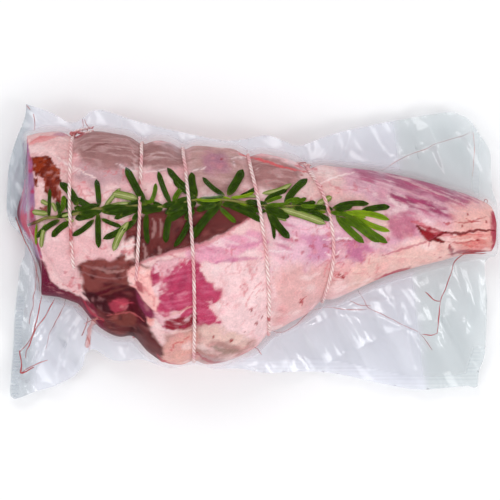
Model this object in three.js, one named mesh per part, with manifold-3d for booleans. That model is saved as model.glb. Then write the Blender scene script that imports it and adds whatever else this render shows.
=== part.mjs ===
// A raw leg of lamb for roasting, tied with five loops of twine over a sprig of rosemary,
// lying in a clear vacuum bag. All sizes are in millimetres.
// +X runs from the broad butt to the thin shank, +Y to the leg's back edge and +Z up.
// The origin is under the middle of the pack, on the surface that it lies on.
import * as THREE from "three";
import { mergeVertices } from "three/addons/utils/BufferGeometryUtils.js";
import Module from "manifold-3d";

const wasm = await Module();
wasm.setup();

// The leg seen from above: its two edges without the dents of the ties, as [x, y].
const BACK_EDGE = [
  [-182, 86], [-172, 88], [-160, 90.5], [-140, 91.5], [-113, 91], [-80, 86], [-30, 79.5], [0, 76.5],
  [45, 67], [95, 61], [120, 56], [150, 47.5], [178, 38], [187, 31],
];
const FRONT_EDGE = [
  [-182, -27], [-160, -33], [-143, -36], [-125, -50], [-110, -61], [-90, -68], [-77, -77], [-62, -85],
  [-28, -85.5], [2, -74], [27, -56], [55, -41], [98, -21], [135, -9.5], [166, -1.5], [187, 1],
];
// How far the cut butt reaches, as [share of the way across, x]: -1 is the back edge and 1 the front.
const BUTT_END = [[-1, -171], [-0.3, -178.5], [0.05, -182], [0.45, -169.5], [0.65, -164], [1, -160]];
const SHANK_END = 186;

// Heights along the leg, as [x, z].
const TOP_HEIGHT = [[-182, 62], [-155, 73], [-110, 80], [-60, 84], [0, 82], [50, 74], [95, 62], [135, 50], [165, 41], [187, 36]];
const EDGE_HEIGHT = [[-182, 26], [-110, 33], [-60, 35], [0, 34], [50, 31], [95, 27], [135, 23], [187, 19]];
const UNDER_HEIGHT = [[-182, 3], [-150, -3], [-60, -4], [50, -4], [95, -2], [135, 0.5], [187, 5]];
// How round the section is: its top and its flatter underside are |across|^ROUND to the power of RISE.
const CROWN = { round: 2.4, rise: 0.48 };
const BELLY = { round: 3, rise: 0.42 };
const BUTT_LEAN = 11;

// The ties cross the leg at mid + slant * across + bow * across squared.
const TIES = [
  { mid: -136.6, slant: 2.5, bow: 3.1, lift: 3.4 },
  { mid: -85, slant: -3.3, bow: -1.7, lift: 3.6 },
  { mid: -44, slant: 4.2, bow: -4.4, lift: 3.6 },
  { mid: 10, slant: 7.9, bow: -5, lift: 3.6 },
  { mid: 61, slant: 5.7, bow: -13.3, lift: 3.4 },
];
const TIE_DENT = { top: 2.6, side: 4.4, under: 1.4, reach: 7 };
const TWINE_RADIUS = 1;
const TWINE_SIDES = 5;
// Two of the ties show their ends at the back edge, so these have a knot there.
const KNOT = { ties: [0, 4], radius: 2.4, tail: 10, tailRadius: 0.8 };
// The twine stays this far from the meat, and from the sprig that it presses into.
const MEAT_GAP = 0.8;
const SPRIG_GAP = 0.4;

// The leg's own hollows and swellings: a smooth hill or dip at [x, y], long and wide along a bearing.
const RELIEF = [
  { at: [-104, -36], height: -12, long: 30, wide: 13, bearing: -32 },
  { at: [-112, -12], height: -4, long: 20, wide: 8, bearing: 5 },
  { at: [-48, 14], height: -6, long: 38, wide: 9, bearing: 22 },
  { at: [-52, -30], height: 4.5, long: 24, wide: 18, bearing: 15 },
  { at: [-86, -21], height: 5, long: 8, wide: 9, bearing: -20 },
  { at: [-150, -14], height: 4, long: 13, wide: 20, bearing: -10 },
  { at: [-8, -22], height: 3, long: 30, wide: 26, bearing: 0 },
  { at: [105, 28], height: 3, long: 45, wide: 9, bearing: -16 },
  { at: [150, 10], height: -1.6, long: 30, wide: 5, bearing: -8 },
];

// The sprig of rosemary: its stem seen from above, and the needles that leave it together at each x.
// A needle is [bearing, length, width]; a bearing of 0 runs along +X and 90 along +Y.
const STEM = [
  [-168, 20], [-153, 26], [-136, 30], [-116, 30.4], [-96, 33.4], [-77, 34.2], [-60, 34.6],
  [-41, 38], [-20, 38.8], [3, 37], [25, 34.2], [48, 33], [62, 31], [79, 28.5],
];
const WHORLS = [
  { x: -153, needles: [[90, 22, 3], [143, 14, 3.4], [174, 12, 4.4], [-93, 16, 1.6], [-99, 18, 3]] },
  { x: -144, needles: [[101, 13, 3], [88, 14, 3.4], [-140, 22, 3.8], [-95, 12, 2.4]] },
  { x: -136, needles: [[94, 14, 3.8], [-136, 20, 4.6], [119, 22, 4.5]] },
  { x: -127, needles: [[128, 27, 5]] },
  {
    x: -115,
    needles: [
      [95, 22, 3.8], [-90, 28, 4.2], [-138, 26, 3.6], [165, 18, 6], [-165, 17, 4.5],
      [-27, 19, 3.6], [54, 20, 3.8], [8, 27, 3], [1, 26, 3.8],
    ],
  },
  {
    x: -79,
    needles: [
      [120, 33, 5.3], [73, 17, 4.5], [165, 22, 5.3], [-161, 22, 4.6], [-152, 23, 6],
      [-147, 37, 4.6], [-121, 36, 5], [-89, 27, 4.2], [4, 15, 4.6],
    ],
  },
  { x: -60, needles: [[112, 27, 4.5], [58, 15, 4.5], [-96, 29, 5]] },
  {
    x: -41,
    needles: [
      [132, 30, 5.3], [143, 23, 3.4], [102, 21, 5.3], [-156, 27, 6], [-168, 22, 5.5],
      [-118, 36, 4.5], [-88, 15, 5.5], [-100, 20, 3],
    ],
  },
  {
    x: -20,
    needles: [
      [140, 24, 3.8], [58, 24, 6.6], [16, 22, 3.8], [8, 25, 3.4], [0, 25, 3], [-25, 34, 4.6],
      [-130, 37, 5.3], [-48, 20, 3], [-160, 22, 5.3], [181, 18, 2.8], [-16, 28, 3.5],
    ],
  },
  { x: 9, needles: [[27, 25, 3], [30, 21, 4.5], [14, 16, 3], [-1, 24, 2.6], [-27, 21, 6], [-33, 18, 3], [-53, 30, 5.3], [-72, 26, 3]] },
  { x: 24, needles: [[48, 27, 6.5], [22, 15, 3], [8, 20, 4.5], [-21, 37, 5], [-28, 28, 3.8]] },
  { x: 41, needles: [[-25, 21, 3.4], [-20, 19, 2.8], [20, 17, 4.5]] },
  { x: 61, needles: [[8, 28, 4.5], [-47, 33, 5.3], [-28, 14, 4.5]] },
  { x: 73, needles: [[9, 31, 5], [-8, 31, 4.6], [-24, 32, 4.2], [-41, 37, 6], [-44, 33, 6], [-15, 17, 3]] },
];
const STEM_RADIUS = 1.1;
const NEEDLE_THICK = 1;
const SPRIG_CLEAR = 1.5;

// The bag's outline seen from above, side by side from its back left corner.
const BAG_BACK = [
  [-173, 113], [-154, 106.5], [-139, 98.5], [-130.5, 101], [-123, 107], [-112, 107.5], [-84, 98.5], [-43, 88.7],
  [-18, 84.6], [-2, 86.6], [12, 88.8], [26, 84], [37, 81], [64, 90.4], [105, 99.4], [150, 107],
];
const BAG_SHANK = [
  [159, 105], [167, 101], [174, 91], [182.5, 77], [183.5, 60], [184.5, 47], [188, 36], [188.5, 16], [188, -2], [180, -6],
  [178.5, -16], [180.5, -37], [179, -76], [174.5, -92], [173, -104],
];
const BAG_FRONT = [
  [166, -103], [140, -105.5], [122, -105.6], [93, -99.8], [63, -93.5], [37, -92], [12, -93], [-9, -89.5], [-28, -89.5],
  [-44, -86], [-60, -89], [-72, -86.5], [-84, -82.5], [-100, -84], [-110, -82], [-120, -75], [-127, -78],
  [-131, -91], [-148, -102], [-166, -107.5], [-184, -113],
];
const BAG_BUTT = [
  [-184.7, -98], [-181.7, -52], [-177.5, -14], [-173.5, -2], [-174.5, 10], [-184.5, 21], [-187.8, 36], [-184.5, 72], [-174, 101.5],
];
const MARGIN = { thick: 0.8, clear: 2.2, outerHeight: 9, fall: 42, wave: 2.2, wavelength: 31 };
const MARGIN_STEPS = 3;

const rad = THREE.MathUtils.degToRad;
const mix = THREE.MathUtils.lerp;
const clamp = THREE.MathUtils.clamp;

// A smooth rule through [place, value] stations, level past both ends.
function through(stations) {
  const last = stations.length - 1;
  const slope = (n) => {
    const [a, b] = [stations[Math.max(n - 1, 0)], stations[Math.min(n + 1, last)]];
    return (b[1] - a[1]) / (b[0] - a[0]);
  };
  return (place) => {
    if (place <= stations[0][0]) return stations[0][1];
    if (place >= stations[last][0]) return stations[last][1];
    const n = stations.findIndex((s) => s[0] > place) - 1;
    const [[x0, y0], [x1, y1]] = [stations[n], stations[n + 1]];
    const span = x1 - x0;
    const t = (place - x0) / span;
    const ease = t * t * (3 - 2 * t);
    const start = t * (1 - t) * (1 - t);
    const end = t * t * (t - 1);
    return mix(y0, y1, ease) + span * (slope(n) * start + slope(n + 1) * end);
  };
}

const backLine = through(BACK_EDGE);
const frontLine = through(FRONT_EDGE);
const topLine = through(TOP_HEIGHT);
const edgeLine = through(EDGE_HEIGHT);
const underLine = through(UNDER_HEIGHT);
const buttLine = through(BUTT_END);

const tieX = (tie, across) => tie.mid + tie.slant * across + tie.bow * across * across;
const bell = (distance, reach) => Math.exp(-((distance / reach) ** 2));

// How strongly the ties pinch the leg at x, at a share of the way across.
const pinch = (x, across) => TIES.reduce((most, tie) => Math.max(most, bell(x - tieX(tie, across), TIE_DENT.reach)), 0);
const backAt = (x) => backLine(x) - TIE_DENT.side * pinch(x, -1);
const frontAt = (x) => frontLine(x) + TIE_DENT.side * pinch(x, 1);

function relief(x, y) {
  return RELIEF.reduce((sum, hill) => {
    const [dx, dy] = [x - hill.at[0], y - hill.at[1]];
    const turn = rad(hill.bearing);
    const along = dx * Math.cos(turn) + dy * Math.sin(turn);
    const aside = dy * Math.cos(turn) - dx * Math.sin(turn);
    return sum + hill.height * bell(along, hill.long) * bell(aside, hill.wide);
  }, 0);
}

const roundness = (across, form) => (1 - Math.min(Math.abs(across), 1) ** form.round) ** form.rise;

// The leg's upper and lower surface at x, at a share of the way across.
function upperZ(x, across) {
  const y = mix(backAt(x), frontAt(x), (across + 1) / 2);
  const crown = roundness(across, CROWN);
  const edge = edgeLine(x);
  return edge + crown * (topLine(x) - edge + relief(x, y) - TIE_DENT.top * pinch(x, across));
}
function lowerZ(x, across) {
  const edge = edgeLine(x);
  return edge - roundness(across, BELLY) * (edge - underLine(x) - TIE_DENT.under * pinch(x, across));
}

// The height of the leg's top at a point seen from above.
function topAt(x, y) {
  const [back, front] = [backAt(x), frontAt(x)];
  return upperZ(x, clamp((2 * (y - back)) / (front - back) - 1, -1, 1));
}

// The lines across the leg that its rows follow: the butt, the five ties and the shank.
const CURTAINS = [buttLine, ...TIES.map((tie) => (across) => tieX(tie, across)), (across) => SHANK_END - 3 * across ** 4];
function curtainX(place, across) {
  const n = Math.min(Math.floor(place), CURTAINS.length - 2);
  return mix(CURTAINS[n](across), CURTAINS[n + 1](across), place - n);
}

// Where a point stands round the section: its share of the way across, and whether it is on top.
const TOP_STEPS = 30;
const UNDER_STEPS = 12;
const AROUND = TOP_STEPS + UNDER_STEPS;
function station(step) {
  const n = step % AROUND;
  const onTop = n <= TOP_STEPS;
  const turn = onTop ? n / TOP_STEPS : (n - TOP_STEPS) / UNDER_STEPS;
  const spread = 0.6 * Math.cos(Math.PI * turn) + 0.4 * (1 - 2 * turn);
  return { across: onTop ? spread : -spread, onTop };
}

// A point on the leg. place runs from 0 at the butt to 6 at the shank, and share shrinks an end's cut face.
function legPoint(place, step, share = 1) {
  const { across: side, onTop } = station(step);
  const across = side * share;
  const x = curtainX(place, across);
  const surface = onTop ? upperZ(x, side) : lowerZ(x, side);
  const onTie = Number.isInteger(place) && place > 0 && place < CURTAINS.length - 1;
  const height = Math.max(mix(edgeLine(x), surface, share), onTie ? 2 * TWINE_RADIUS + MEAT_GAP : 0);
  const y = mix(backAt(x), frontAt(x), (across + 1) / 2);
  const rise = (height - underLine(x)) / (topLine(x) - underLine(x));
  const lean = BUTT_LEAN * rise * (1 - across * across) * Math.max(0, 1 - place / 0.5);
  return new THREE.Vector3(x + lean, y, height);
}

// The rows of the leg: close together at each tie, and shrinking to a point on each cut end.
function legRows() {
  const rows = [0, 0.45, 0.8, 0.97].map((share) => ({ place: 0, share }));
  for (let bay = 0; bay < CURTAINS.length - 1; bay++) {
    const width = CURTAINS[bay + 1](0) - CURTAINS[bay](0);
    const steps = Math.round((width - 10) / 7);
    rows.push({ place: bay, share: 1 });
    for (let n = 0; n <= steps; n++) rows.push({ place: bay + mix(3.5, width - 3.5, n / steps) / width, share: 1 });
  }
  rows.push({ place: 6, share: 1 }, { place: 6, share: 0.93 }, { place: 6, share: 0.5 }, { place: 6, share: 0 });
  return rows;
}

// Moves each point of a closed grid to where the rule puts it, by its row and its place in the row.
function bend(geometry, inRow, rule) {
  const points = geometry.getAttribute("position");
  for (let n = 0; n < points.count; n++) {
    const p = rule(Math.floor(n / inRow), n % inRow);
    points.setXYZ(n, p.x, p.y, p.z);
  }
  return geometry;
}

function solidOf(geometry) {
  geometry.deleteAttribute("normal");
  geometry.deleteAttribute("uv");
  const merged = mergeVertices(geometry, 1e-4);
  const triVerts = new Uint32Array(merged.index.array);
  return new wasm.Manifold(new wasm.Mesh({ numProp: 3, vertProperties: merged.attributes.position.array, triVerts }));
}

function geometryOf(solid) {
  const mesh = solid.getMesh();
  return new THREE.BufferGeometry()
    .setAttribute("position", new THREE.BufferAttribute(mesh.vertProperties, 3))
    .setIndex(new THREE.BufferAttribute(mesh.triVerts, 1));
}

// The meat: one closed body, flat where it rests, with a groove pressed in by each tie.
function makeLeg() {
  const rows = legRows();
  const grid = new THREE.SphereGeometry(1, AROUND, rows.length - 1);
  return bend(grid, AROUND + 1, (row, step) => legPoint(rows[row].place, step, rows[row].share));
}

// How far the sprig lifts a tie off the meat at y.
function sprigLift(tie, x, y) {
  const stemY = through(STEM)(x);
  return tie.lift * bell(y - stemY, 13) + 1.3 * bell(y - stemY, 30);
}

// A point at some distance outside the leg's surface.
function offLeg(place, step, away) {
  const here = legPoint(place, step);
  const [before, after] = [legPoint(place, step + AROUND - 1), legPoint(place, step + 1)];
  const out = new THREE.Vector2(before.z - after.z, after.y - before.y).normalize();
  return here.add(new THREE.Vector3(0, out.x * away, out.y * away));
}

// A tie's own line: the leg's row there, moved out by the twine's radius and a gap, over the sprig.
function tieLine(tie, place) {
  const points = [];
  for (let step = 0; step < AROUND; step++) {
    const here = offLeg(place, step, TWINE_RADIUS + MEAT_GAP);
    if (station(step).onTop) here.z += sprigLift(tie, here.x, here.y);
    here.z = Math.max(here.z, TWINE_RADIUS);
    points.push(here);
  }
  return points;
}

function sectionAt(points, n, radius, turn) {
  const at = (k) => points[clamp(k, 0, points.length - 1)];
  const ahead = at(n + 1).clone().sub(at(n - 1)).normalize();
  const side = new THREE.Vector3(0, 0, 1).cross(ahead);
  if (side.length() < 0.2) side.set(1, 0, 0).cross(ahead);
  side.normalize();
  const up = ahead.clone().cross(side);
  return at(n).clone().addScaledVector(side, radius * Math.cos(turn)).addScaledVector(up, radius * Math.sin(turn));
}

// A round-sided cord along a closed line of points that stands across the leg.
function loop(points, radius, sides) {
  const count = points.length;
  const ring = new THREE.TorusGeometry(2, 1, sides, count);
  const curtain = new THREE.Vector3(1, 0, 0);
  return bend(ring, count + 1, (corner, n) => {
    const [before, here, after] = [-1, 0, 1].map((k) => points[(n + k + count) % count]);
    const ahead = after.clone().sub(before).normalize();
    const out = ahead.clone().cross(curtain).normalize();
    const turn = (2 * Math.PI * corner) / sides;
    return here.clone().addScaledVector(out, radius * Math.cos(turn)).addScaledVector(curtain, radius * Math.sin(turn));
  });
}

// A round-sided rod along an open line of points, with pointed ends.
function rod(points, radius, sides) {
  const last = points.length - 1;
  const grid = new THREE.SphereGeometry(1, sides, last);
  return bend(grid, sides + 1, (n, corner) => {
    const swell = n === 0 || n === last ? 0 : radius;
    return sectionAt(points, n, swell, (-2 * Math.PI * (corner % sides)) / sides);
  });
}

// A tie is a closed loop of twine, and some have a knot at the leg's back edge with two short tails.
function makeTie(tie, n) {
  const place = n + 1;
  const ring = solidOf(loop(tieLine(tie, place), TWINE_RADIUS, TWINE_SIDES));
  if (!KNOT.ties.includes(n)) return ring;
  const step = TOP_STEPS - 1;
  const at = offLeg(place, step, KNOT.radius + MEAT_GAP);
  const knot = solidOf(new THREE.SphereGeometry(KNOT.radius, 7, 5).translate(at.x, at.y, at.z));
  return [-1, 1].reduce((whole, way) => {
    const bay = Math.abs(curtainX(place + way * 0.999, -1) - curtainX(place, -1));
    const points = [0, 0.4, 0.75, 1].map((t) => {
      return offLeg(place + (way * t * KNOT.tail) / bay, step, KNOT.tailRadius + mix(1.6, 0.8, t));
    });
    return whole.add(solidOf(rod(points, KNOT.tailRadius, 5)));
  }, ring.add(knot));
}

// A needle is a thin blunt blade that lies along the meat, on its own level in the sprig.
function makeNeedle(base, [bearing, length, width], level) {
  const rows = [[0, 0], [0.3, 0.95], [0.75, 0.9], [1, 0]];
  const along = new THREE.Vector2(Math.cos(rad(bearing)), Math.sin(rad(bearing)));
  const grid = new THREE.SphereGeometry(1, 4, rows.length - 1);
  return bend(grid, 5, (row, corner) => {
    const [t, swell] = rows[row];
    const turn = (-Math.PI / 2) * (corner % 4);
    const aside = (width / 2) * swell * Math.cos(turn);
    const x = base[0] + along.x * length * t - along.y * aside;
    const y = base[1] + along.y * length * t + along.x * aside;
    const middle = topAt(base[0] + along.x * length * t, base[1] + along.y * length * t);
    const seat = Math.max(topAt(x, y), middle) + SPRIG_CLEAR + level * (1 - 0.6 * t);
    return new THREE.Vector3(x, y, seat + (NEEDLE_THICK / 2) * swell * Math.sin(turn));
  });
}

function makeRosemary() {
  const stemY = through(STEM);
  const [first, last] = [STEM[0][0], STEM[STEM.length - 1][0]];
  const stem = [];
  for (let n = 0; n <= 26; n++) {
    const x = mix(first, last, n / 26);
    stem.push(new THREE.Vector3(x, stemY(x), topAt(x, stemY(x)) + SPRIG_CLEAR + STEM_RADIUS));
  }
  let sprig = solidOf(rod(stem, STEM_RADIUS, 6));
  WHORLS.forEach(({ x, needles }) => {
    needles.forEach((needle, n) => {
      const level = [0.5, 1.5, 2.6][n % 3];
      sprig = sprig.add(solidOf(makeNeedle([x, stemY(x)], needle, level)));
    });
  });
  // Twine that presses into the sprig takes its own room, and a scrap that this cuts loose is left out.
  TIES.forEach((tie, n) => {
    sprig = sprig.subtract(solidOf(loop(tieLine(tie, n + 1), TWINE_RADIUS + SPRIG_GAP, TWINE_SIDES)));
  });
  return sprig.decompose().reduce((a, b) => (b.volume() > a.volume() ? b : a));
}


// The bag's welded margin: both films as one thin sheet that runs round the leg, level with its edge.
function bagOutline() {
  const sides = [BAG_BACK, BAG_SHANK, BAG_FRONT, BAG_BUTT];
  return sides.flatMap((side, n) => {
    const next = sides[(n + 1) % sides.length][0];
    const line = new THREE.CatmullRomCurve3([...side, next].map(([x, y]) => new THREE.Vector3(x, y, 0)), false, "centripetal");
    return line.getSpacedPoints(Math.round(line.getLength() / 10)).slice(0, -1);
  });
}

// The nearest point of the leg's edge to a point of the bag's outline, along a line from the leg's spine.
function innerPoint(outer) {
  const spineX = clamp(outer.x, -150, 170);
  const spine = new THREE.Vector2(spineX, (backLine(spineX) + frontLine(spineX)) / 2);
  const way = new THREE.Vector2(outer.x, outer.y).sub(spine);
  const outside = (t) => {
    const [x, y] = [spine.x + way.x * t, spine.y + way.y * t];
    const across = (2 * (y - backLine(x))) / (frontLine(x) - backLine(x)) - 1;
    return Math.abs(across) > 1 || x < buttLine(clamp(across, -1, 1)) || x > SHANK_END;
  };
  let [low, high] = [0, 1];
  for (let n = 0; n < 24; n++) {
    const middle = (low + high) / 2;
    if (outside(middle)) high = middle;
    else low = middle;
  }
  const clear = Math.min(MARGIN.clear, 0.6 * (1 - high) * way.length());
  return spine.addScaledVector(way, high + clear / way.length());
}

function marginZ(x, y, out) {
  const level = mix(edgeLine(x) - 4, MARGIN.outerHeight, clamp(out / MARGIN.fall, 0, 1));
  const wave = Math.sin((2 * Math.PI * (x + 0.6 * y)) / MARGIN.wavelength) * clamp(out / 15, 0, 1);
  return level + MARGIN.wave * wave;
}

function makeBag() {
  const outline = bagOutline();
  const inner = outline.map(innerPoint);
  const around = outline.length;
  const loopSteps = 2 * MARGIN_STEPS + 2;
  const ring = new THREE.TorusGeometry(2, 1, loopSteps, around);
  // The underside's cells are split along the same lines as the top's, so the sheet is as thick everywhere.
  for (let cell = (MARGIN_STEPS + 1) * around; cell < (2 * MARGIN_STEPS + 1) * around; cell++) {
    const [a, b, d, , c] = ring.index.array.slice(6 * cell, 6 * cell + 6);
    ring.index.array.set([a, b, c, a, c, d], 6 * cell);
  }
  return bend(ring, around + 1, (corner, n) => {
    const step = corner % loopSteps;
    const onTop = step <= MARGIN_STEPS;
    const share = (onTop ? step : loopSteps - 1 - step) / MARGIN_STEPS;
    const [from, to] = [inner[n % around], outline[n % around]];
    const x = mix(from.x, to.x, share);
    const y = mix(from.y, to.y, share);
    const out = Math.hypot(x - from.x, y - from.y);
    return new THREE.Vector3(x, y, marginZ(x, y, out) + (onTop ? MARGIN.thick : 0));
  });
}

const FINISHES = {
  meat: { color: 0xd99a9c, roughness: 0.45, metalness: 0 },
  twine: { color: 0xf1ddd3, roughness: 0.9, metalness: 0 },
  rosemary: { color: 0x2f4a08, roughness: 0.6, metalness: 0 },
  film: { color: 0xdde4ec, roughness: 0.15, metalness: 0, transparent: true, opacity: 0.35 },
};

function named(name, finish, geometry) {
  const mesh = new THREE.Mesh(geometry, new THREE.MeshStandardMaterial(FINISHES[finish]));
  mesh.name = name;
  return mesh;
}

const pack = new THREE.Group();
pack.add(named("leg", "meat", makeLeg()));
TIES.forEach((tie, n) => pack.add(named(`tie_${n + 1}`, "twine", geometryOf(makeTie(tie, n)))));
pack.add(named("rosemary", "rosemary", geometryOf(makeRosemary())));
pack.add(named("bag", "film", geometryOf(solidOf(makeBag()))));

export default pack;
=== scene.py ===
"""The looks of a raw, tied leg of lamb in a clear vacuum bag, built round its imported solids.

Lengths here are millimetres in the part's own frame, and are turned into metres as each mesh is made.
Places read off the photograph are in its pixels, and spot() turns one into the part's X and Y.
"""

import math

import bpy
import numpy as np
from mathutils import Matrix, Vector
from mathutils.bvhtree import BVHTree


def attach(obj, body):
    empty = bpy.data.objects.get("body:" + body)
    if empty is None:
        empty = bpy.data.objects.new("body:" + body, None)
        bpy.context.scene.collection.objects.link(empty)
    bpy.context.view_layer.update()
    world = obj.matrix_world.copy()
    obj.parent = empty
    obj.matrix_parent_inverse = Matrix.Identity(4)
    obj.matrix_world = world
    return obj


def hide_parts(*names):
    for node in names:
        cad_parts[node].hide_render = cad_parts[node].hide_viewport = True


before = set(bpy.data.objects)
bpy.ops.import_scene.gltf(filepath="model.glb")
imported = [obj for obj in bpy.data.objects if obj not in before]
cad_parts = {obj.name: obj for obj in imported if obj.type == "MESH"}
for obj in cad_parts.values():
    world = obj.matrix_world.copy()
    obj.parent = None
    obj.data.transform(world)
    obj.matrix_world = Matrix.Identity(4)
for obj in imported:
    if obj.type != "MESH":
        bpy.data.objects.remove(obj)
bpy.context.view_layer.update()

MM_PER_PIXEL = 0.76
MIDDLE = (251.75, 251.5)


def spot(points):
    """Photograph pixels as X and Y in millimetres."""
    p = np.asarray(points, float)
    return np.stack([(p[..., 0] - MIDDLE[0]) * MM_PER_PIXEL, (MIDDLE[1] - p[..., 1]) * MM_PER_PIXEL], -1)


def pixels(points):
    """X and Y in millimetres as the photograph's pixels."""
    return points[..., 0] / MM_PER_PIXEL + MIDDLE[0], MIDDLE[1] - points[..., 1] / MM_PER_PIXEL


def linear(colour):
    """A screen colour, 0 to 255, as linear light."""
    c = np.array(colour, float) / 255
    return np.where(c <= 0.04045, c / 12.92, ((c + 0.055) / 1.055) ** 2.4)


# Small rules


def through(stations):
    """A smooth rule through [place, value] stations, level past both ends."""
    xs, ys = np.array(stations, float).T
    last = len(xs) - 1
    before = np.maximum(np.arange(last + 1) - 1, 0)
    after = np.minimum(np.arange(last + 1) + 1, last)
    slope = (ys[after] - ys[before]) / (xs[after] - xs[before])

    def rule(place):
        place = np.clip(place, xs[0], xs[-1])
        k = np.clip(np.searchsorted(xs, place, side="right") - 1, 0, last - 1)
        span = xs[k + 1] - xs[k]
        t = (place - xs[k]) / span
        ease = t * t * (3 - 2 * t)
        bend = slope[k] * t * (1 - t) ** 2 + slope[k + 1] * t * t * (t - 1)
        return ys[k] * (1 - ease) + ys[k + 1] * ease + span * bend

    return rule


def mix(a, b, t):
    return a * (1 - t) + b * t


def bell(distance, reach):
    return np.exp(-((distance / reach) ** 2))


def step(low, high, value):
    t = np.clip((value - low) / (high - low), 0, 1)
    return t * t * (3 - 2 * t)


def unit(vectors):
    """Vectors brought to length one."""
    return vectors / np.maximum(np.linalg.norm(vectors, axis=-1, keepdims=True), 1e-6)


def scatter(cells, seed):
    """A fixed number from -1 to 1 for each whole-numbered cell."""
    c = cells.astype(np.int64).astype(np.uint64)
    n = c[..., 0] * np.uint64(73856093) ^ c[..., 1] * np.uint64(19349663) ^ c[..., 2] * np.uint64(83492791)
    n = (n + np.uint64(seed * 7919 + 17)) & np.uint64(0xFFFFFFFF)
    n = ((n ^ (n >> np.uint64(15))) * np.uint64(2246822519)) & np.uint64(0xFFFFFFFF)
    n = ((n ^ (n >> np.uint64(13))) * np.uint64(3266489917)) & np.uint64(0xFFFFFFFF)
    return ((n ^ (n >> np.uint64(16))) & np.uint64(0xFFFFFF)).astype(float) / 0x7FFFFF - 1


def smooth_noise(points, size, seed):
    p = points / size
    base = np.floor(p)
    t = p - base
    t = t * t * (3 - 2 * t)
    total = 0
    for dx in (0, 1):
        for dy in (0, 1):
            for dz in (0, 1):
                share = (t[..., 0] if dx else 1 - t[..., 0]) * (t[..., 1] if dy else 1 - t[..., 1])
                share = share * (t[..., 2] if dz else 1 - t[..., 2])
                total = total + share * scatter(base + np.array([dx, dy, dz]), seed)
    return total


def cloud(points, size, seed, octaves=3):
    total, weight = 0, 0
    for k in range(octaves):
        total = total + smooth_noise(points, size / 2**k, seed + 31 * k) / 2**k
        weight += 1 / 2**k
    return total / weight


def ridges(points, size, seed, octaves=3):
    """Sharp crests near 1 with broad valleys near 0."""
    return 1 - np.abs(cloud(points, size, seed, octaves)) * 2.2


def along(points, bearing, stretch):
    """Points with one direction drawn out, so that noise made on them runs as fibres along that bearing."""
    a = math.radians(bearing)
    u = points[..., 0] * math.cos(a) + points[..., 1] * math.sin(a)
    v = points[..., 1] * math.cos(a) - points[..., 0] * math.sin(a)
    return np.stack([u / stretch, v, points[..., 2]], -1)


def inside(xy, outline):
    """How far each point is inside a closed outline, negative outside."""
    flat = xy.reshape(-1, 2)
    best = np.full(len(flat), 1e9)
    odd = np.zeros(len(flat), bool)
    for a, b in zip(outline, np.roll(outline, -1, 0)):
        best = np.minimum(best, off_segment(flat, a, b)[0])
        crosses = (a[1] > flat[:, 1]) != (b[1] > flat[:, 1])
        rise = b[1] - a[1] if b[1] != a[1] else 1e-9
        odd ^= crosses & (flat[:, 0] < (b[0] - a[0]) * (flat[:, 1] - a[1]) / rise + a[0])
    return np.where(odd, best, -best).reshape(xy.shape[:-1])


def off_segment(flat, a, b):
    """Each point's distance from a segment, and how far along it the nearest point is."""
    d = b - a
    t = np.clip(((flat - a) @ d) / max(float(d @ d), 1e-9), 0, 1)
    return np.linalg.norm(flat - a - t[:, None] * d, axis=1), t


def off_line(xy, points):
    """Distance from an open line of points, and the share of the line at the nearest one."""
    flat = xy.reshape(-1, 2)
    best, share = np.full(len(flat), 1e9), np.zeros(len(flat))
    for k in range(len(points) - 1):
        distance, t = off_segment(flat, points[k], points[k + 1])
        nearer = distance < best
        best = np.where(nearer, distance, best)
        share = np.where(nearer, (k + t) / (len(points) - 1), share)
    return best.reshape(xy.shape[:-1]), share.reshape(xy.shape[:-1])


def curve(points, count, closed=False):
    """Evenly spaced points on a smooth curve through a few."""
    p = np.asarray(points, float)
    n = len(p)
    fine = []
    for k in range(n if closed else n - 1):
        a, b, c, d = (p[i % n] if closed else p[min(max(i, 0), n - 1)] for i in (k - 1, k, k + 1, k + 2))
        t = np.linspace(0, 1, 24, endpoint=False)[:, None]
        square, cube = 2 * a - 5 * b + 4 * c - d, 3 * b - a - 3 * c + d
        fine.append(0.5 * (2 * b + (c - a) * t + square * t**2 + cube * t**3))
    fine = np.concatenate(fine + [p[:1] if closed else p[-1:]])
    run = np.concatenate([[0], np.cumsum(np.linalg.norm(np.diff(fine, axis=0), axis=1))])
    at = np.linspace(0, run[-1], count, endpoint=not closed)
    return np.stack([np.interp(at, run, fine[:, k]) for k in range(p.shape[1])], -1)


def read_grid(values, u, v):
    """Values between a grid's points, where u and v count its rows and columns."""
    u = np.clip(u, 0, values.shape[0] - 1.001)
    v = np.clip(v, 0, values.shape[1] - 1.001)
    i, j = u.astype(int), v.astype(int)
    a, b = u - i, v - j
    return mix(mix(values[i, j], values[i + 1, j], a), mix(values[i, j + 1], values[i + 1, j + 1], a), b)


# Meshes


def mesh_piece(name, points, faces, paint=None, masks=None):
    """An object with smooth faces, from points in millimetres."""
    mesh = bpy.data.meshes.new(name)
    corners = faces.tolist() if isinstance(faces, np.ndarray) else faces
    mesh.from_pydata((np.asarray(points, float) * 0.001).tolist(), [], corners)
    mesh.polygons.foreach_set("use_smooth", np.ones(len(mesh.polygons), bool))
    if paint is not None:
        layer = mesh.attributes.new("paint", "FLOAT_COLOR", "POINT")
        layer.data.foreach_set("color", np.concatenate([paint, np.ones((len(paint), 1))], 1).ravel())
    for key, values in (masks or {}).items():
        layer = mesh.attributes.new(key, "FLOAT", "POINT")
        layer.data.foreach_set("value", np.asarray(values, float).ravel())
    mesh.update()
    piece = bpy.data.objects.new(name, mesh)
    bpy.context.scene.collection.objects.link(piece)
    return piece


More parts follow.
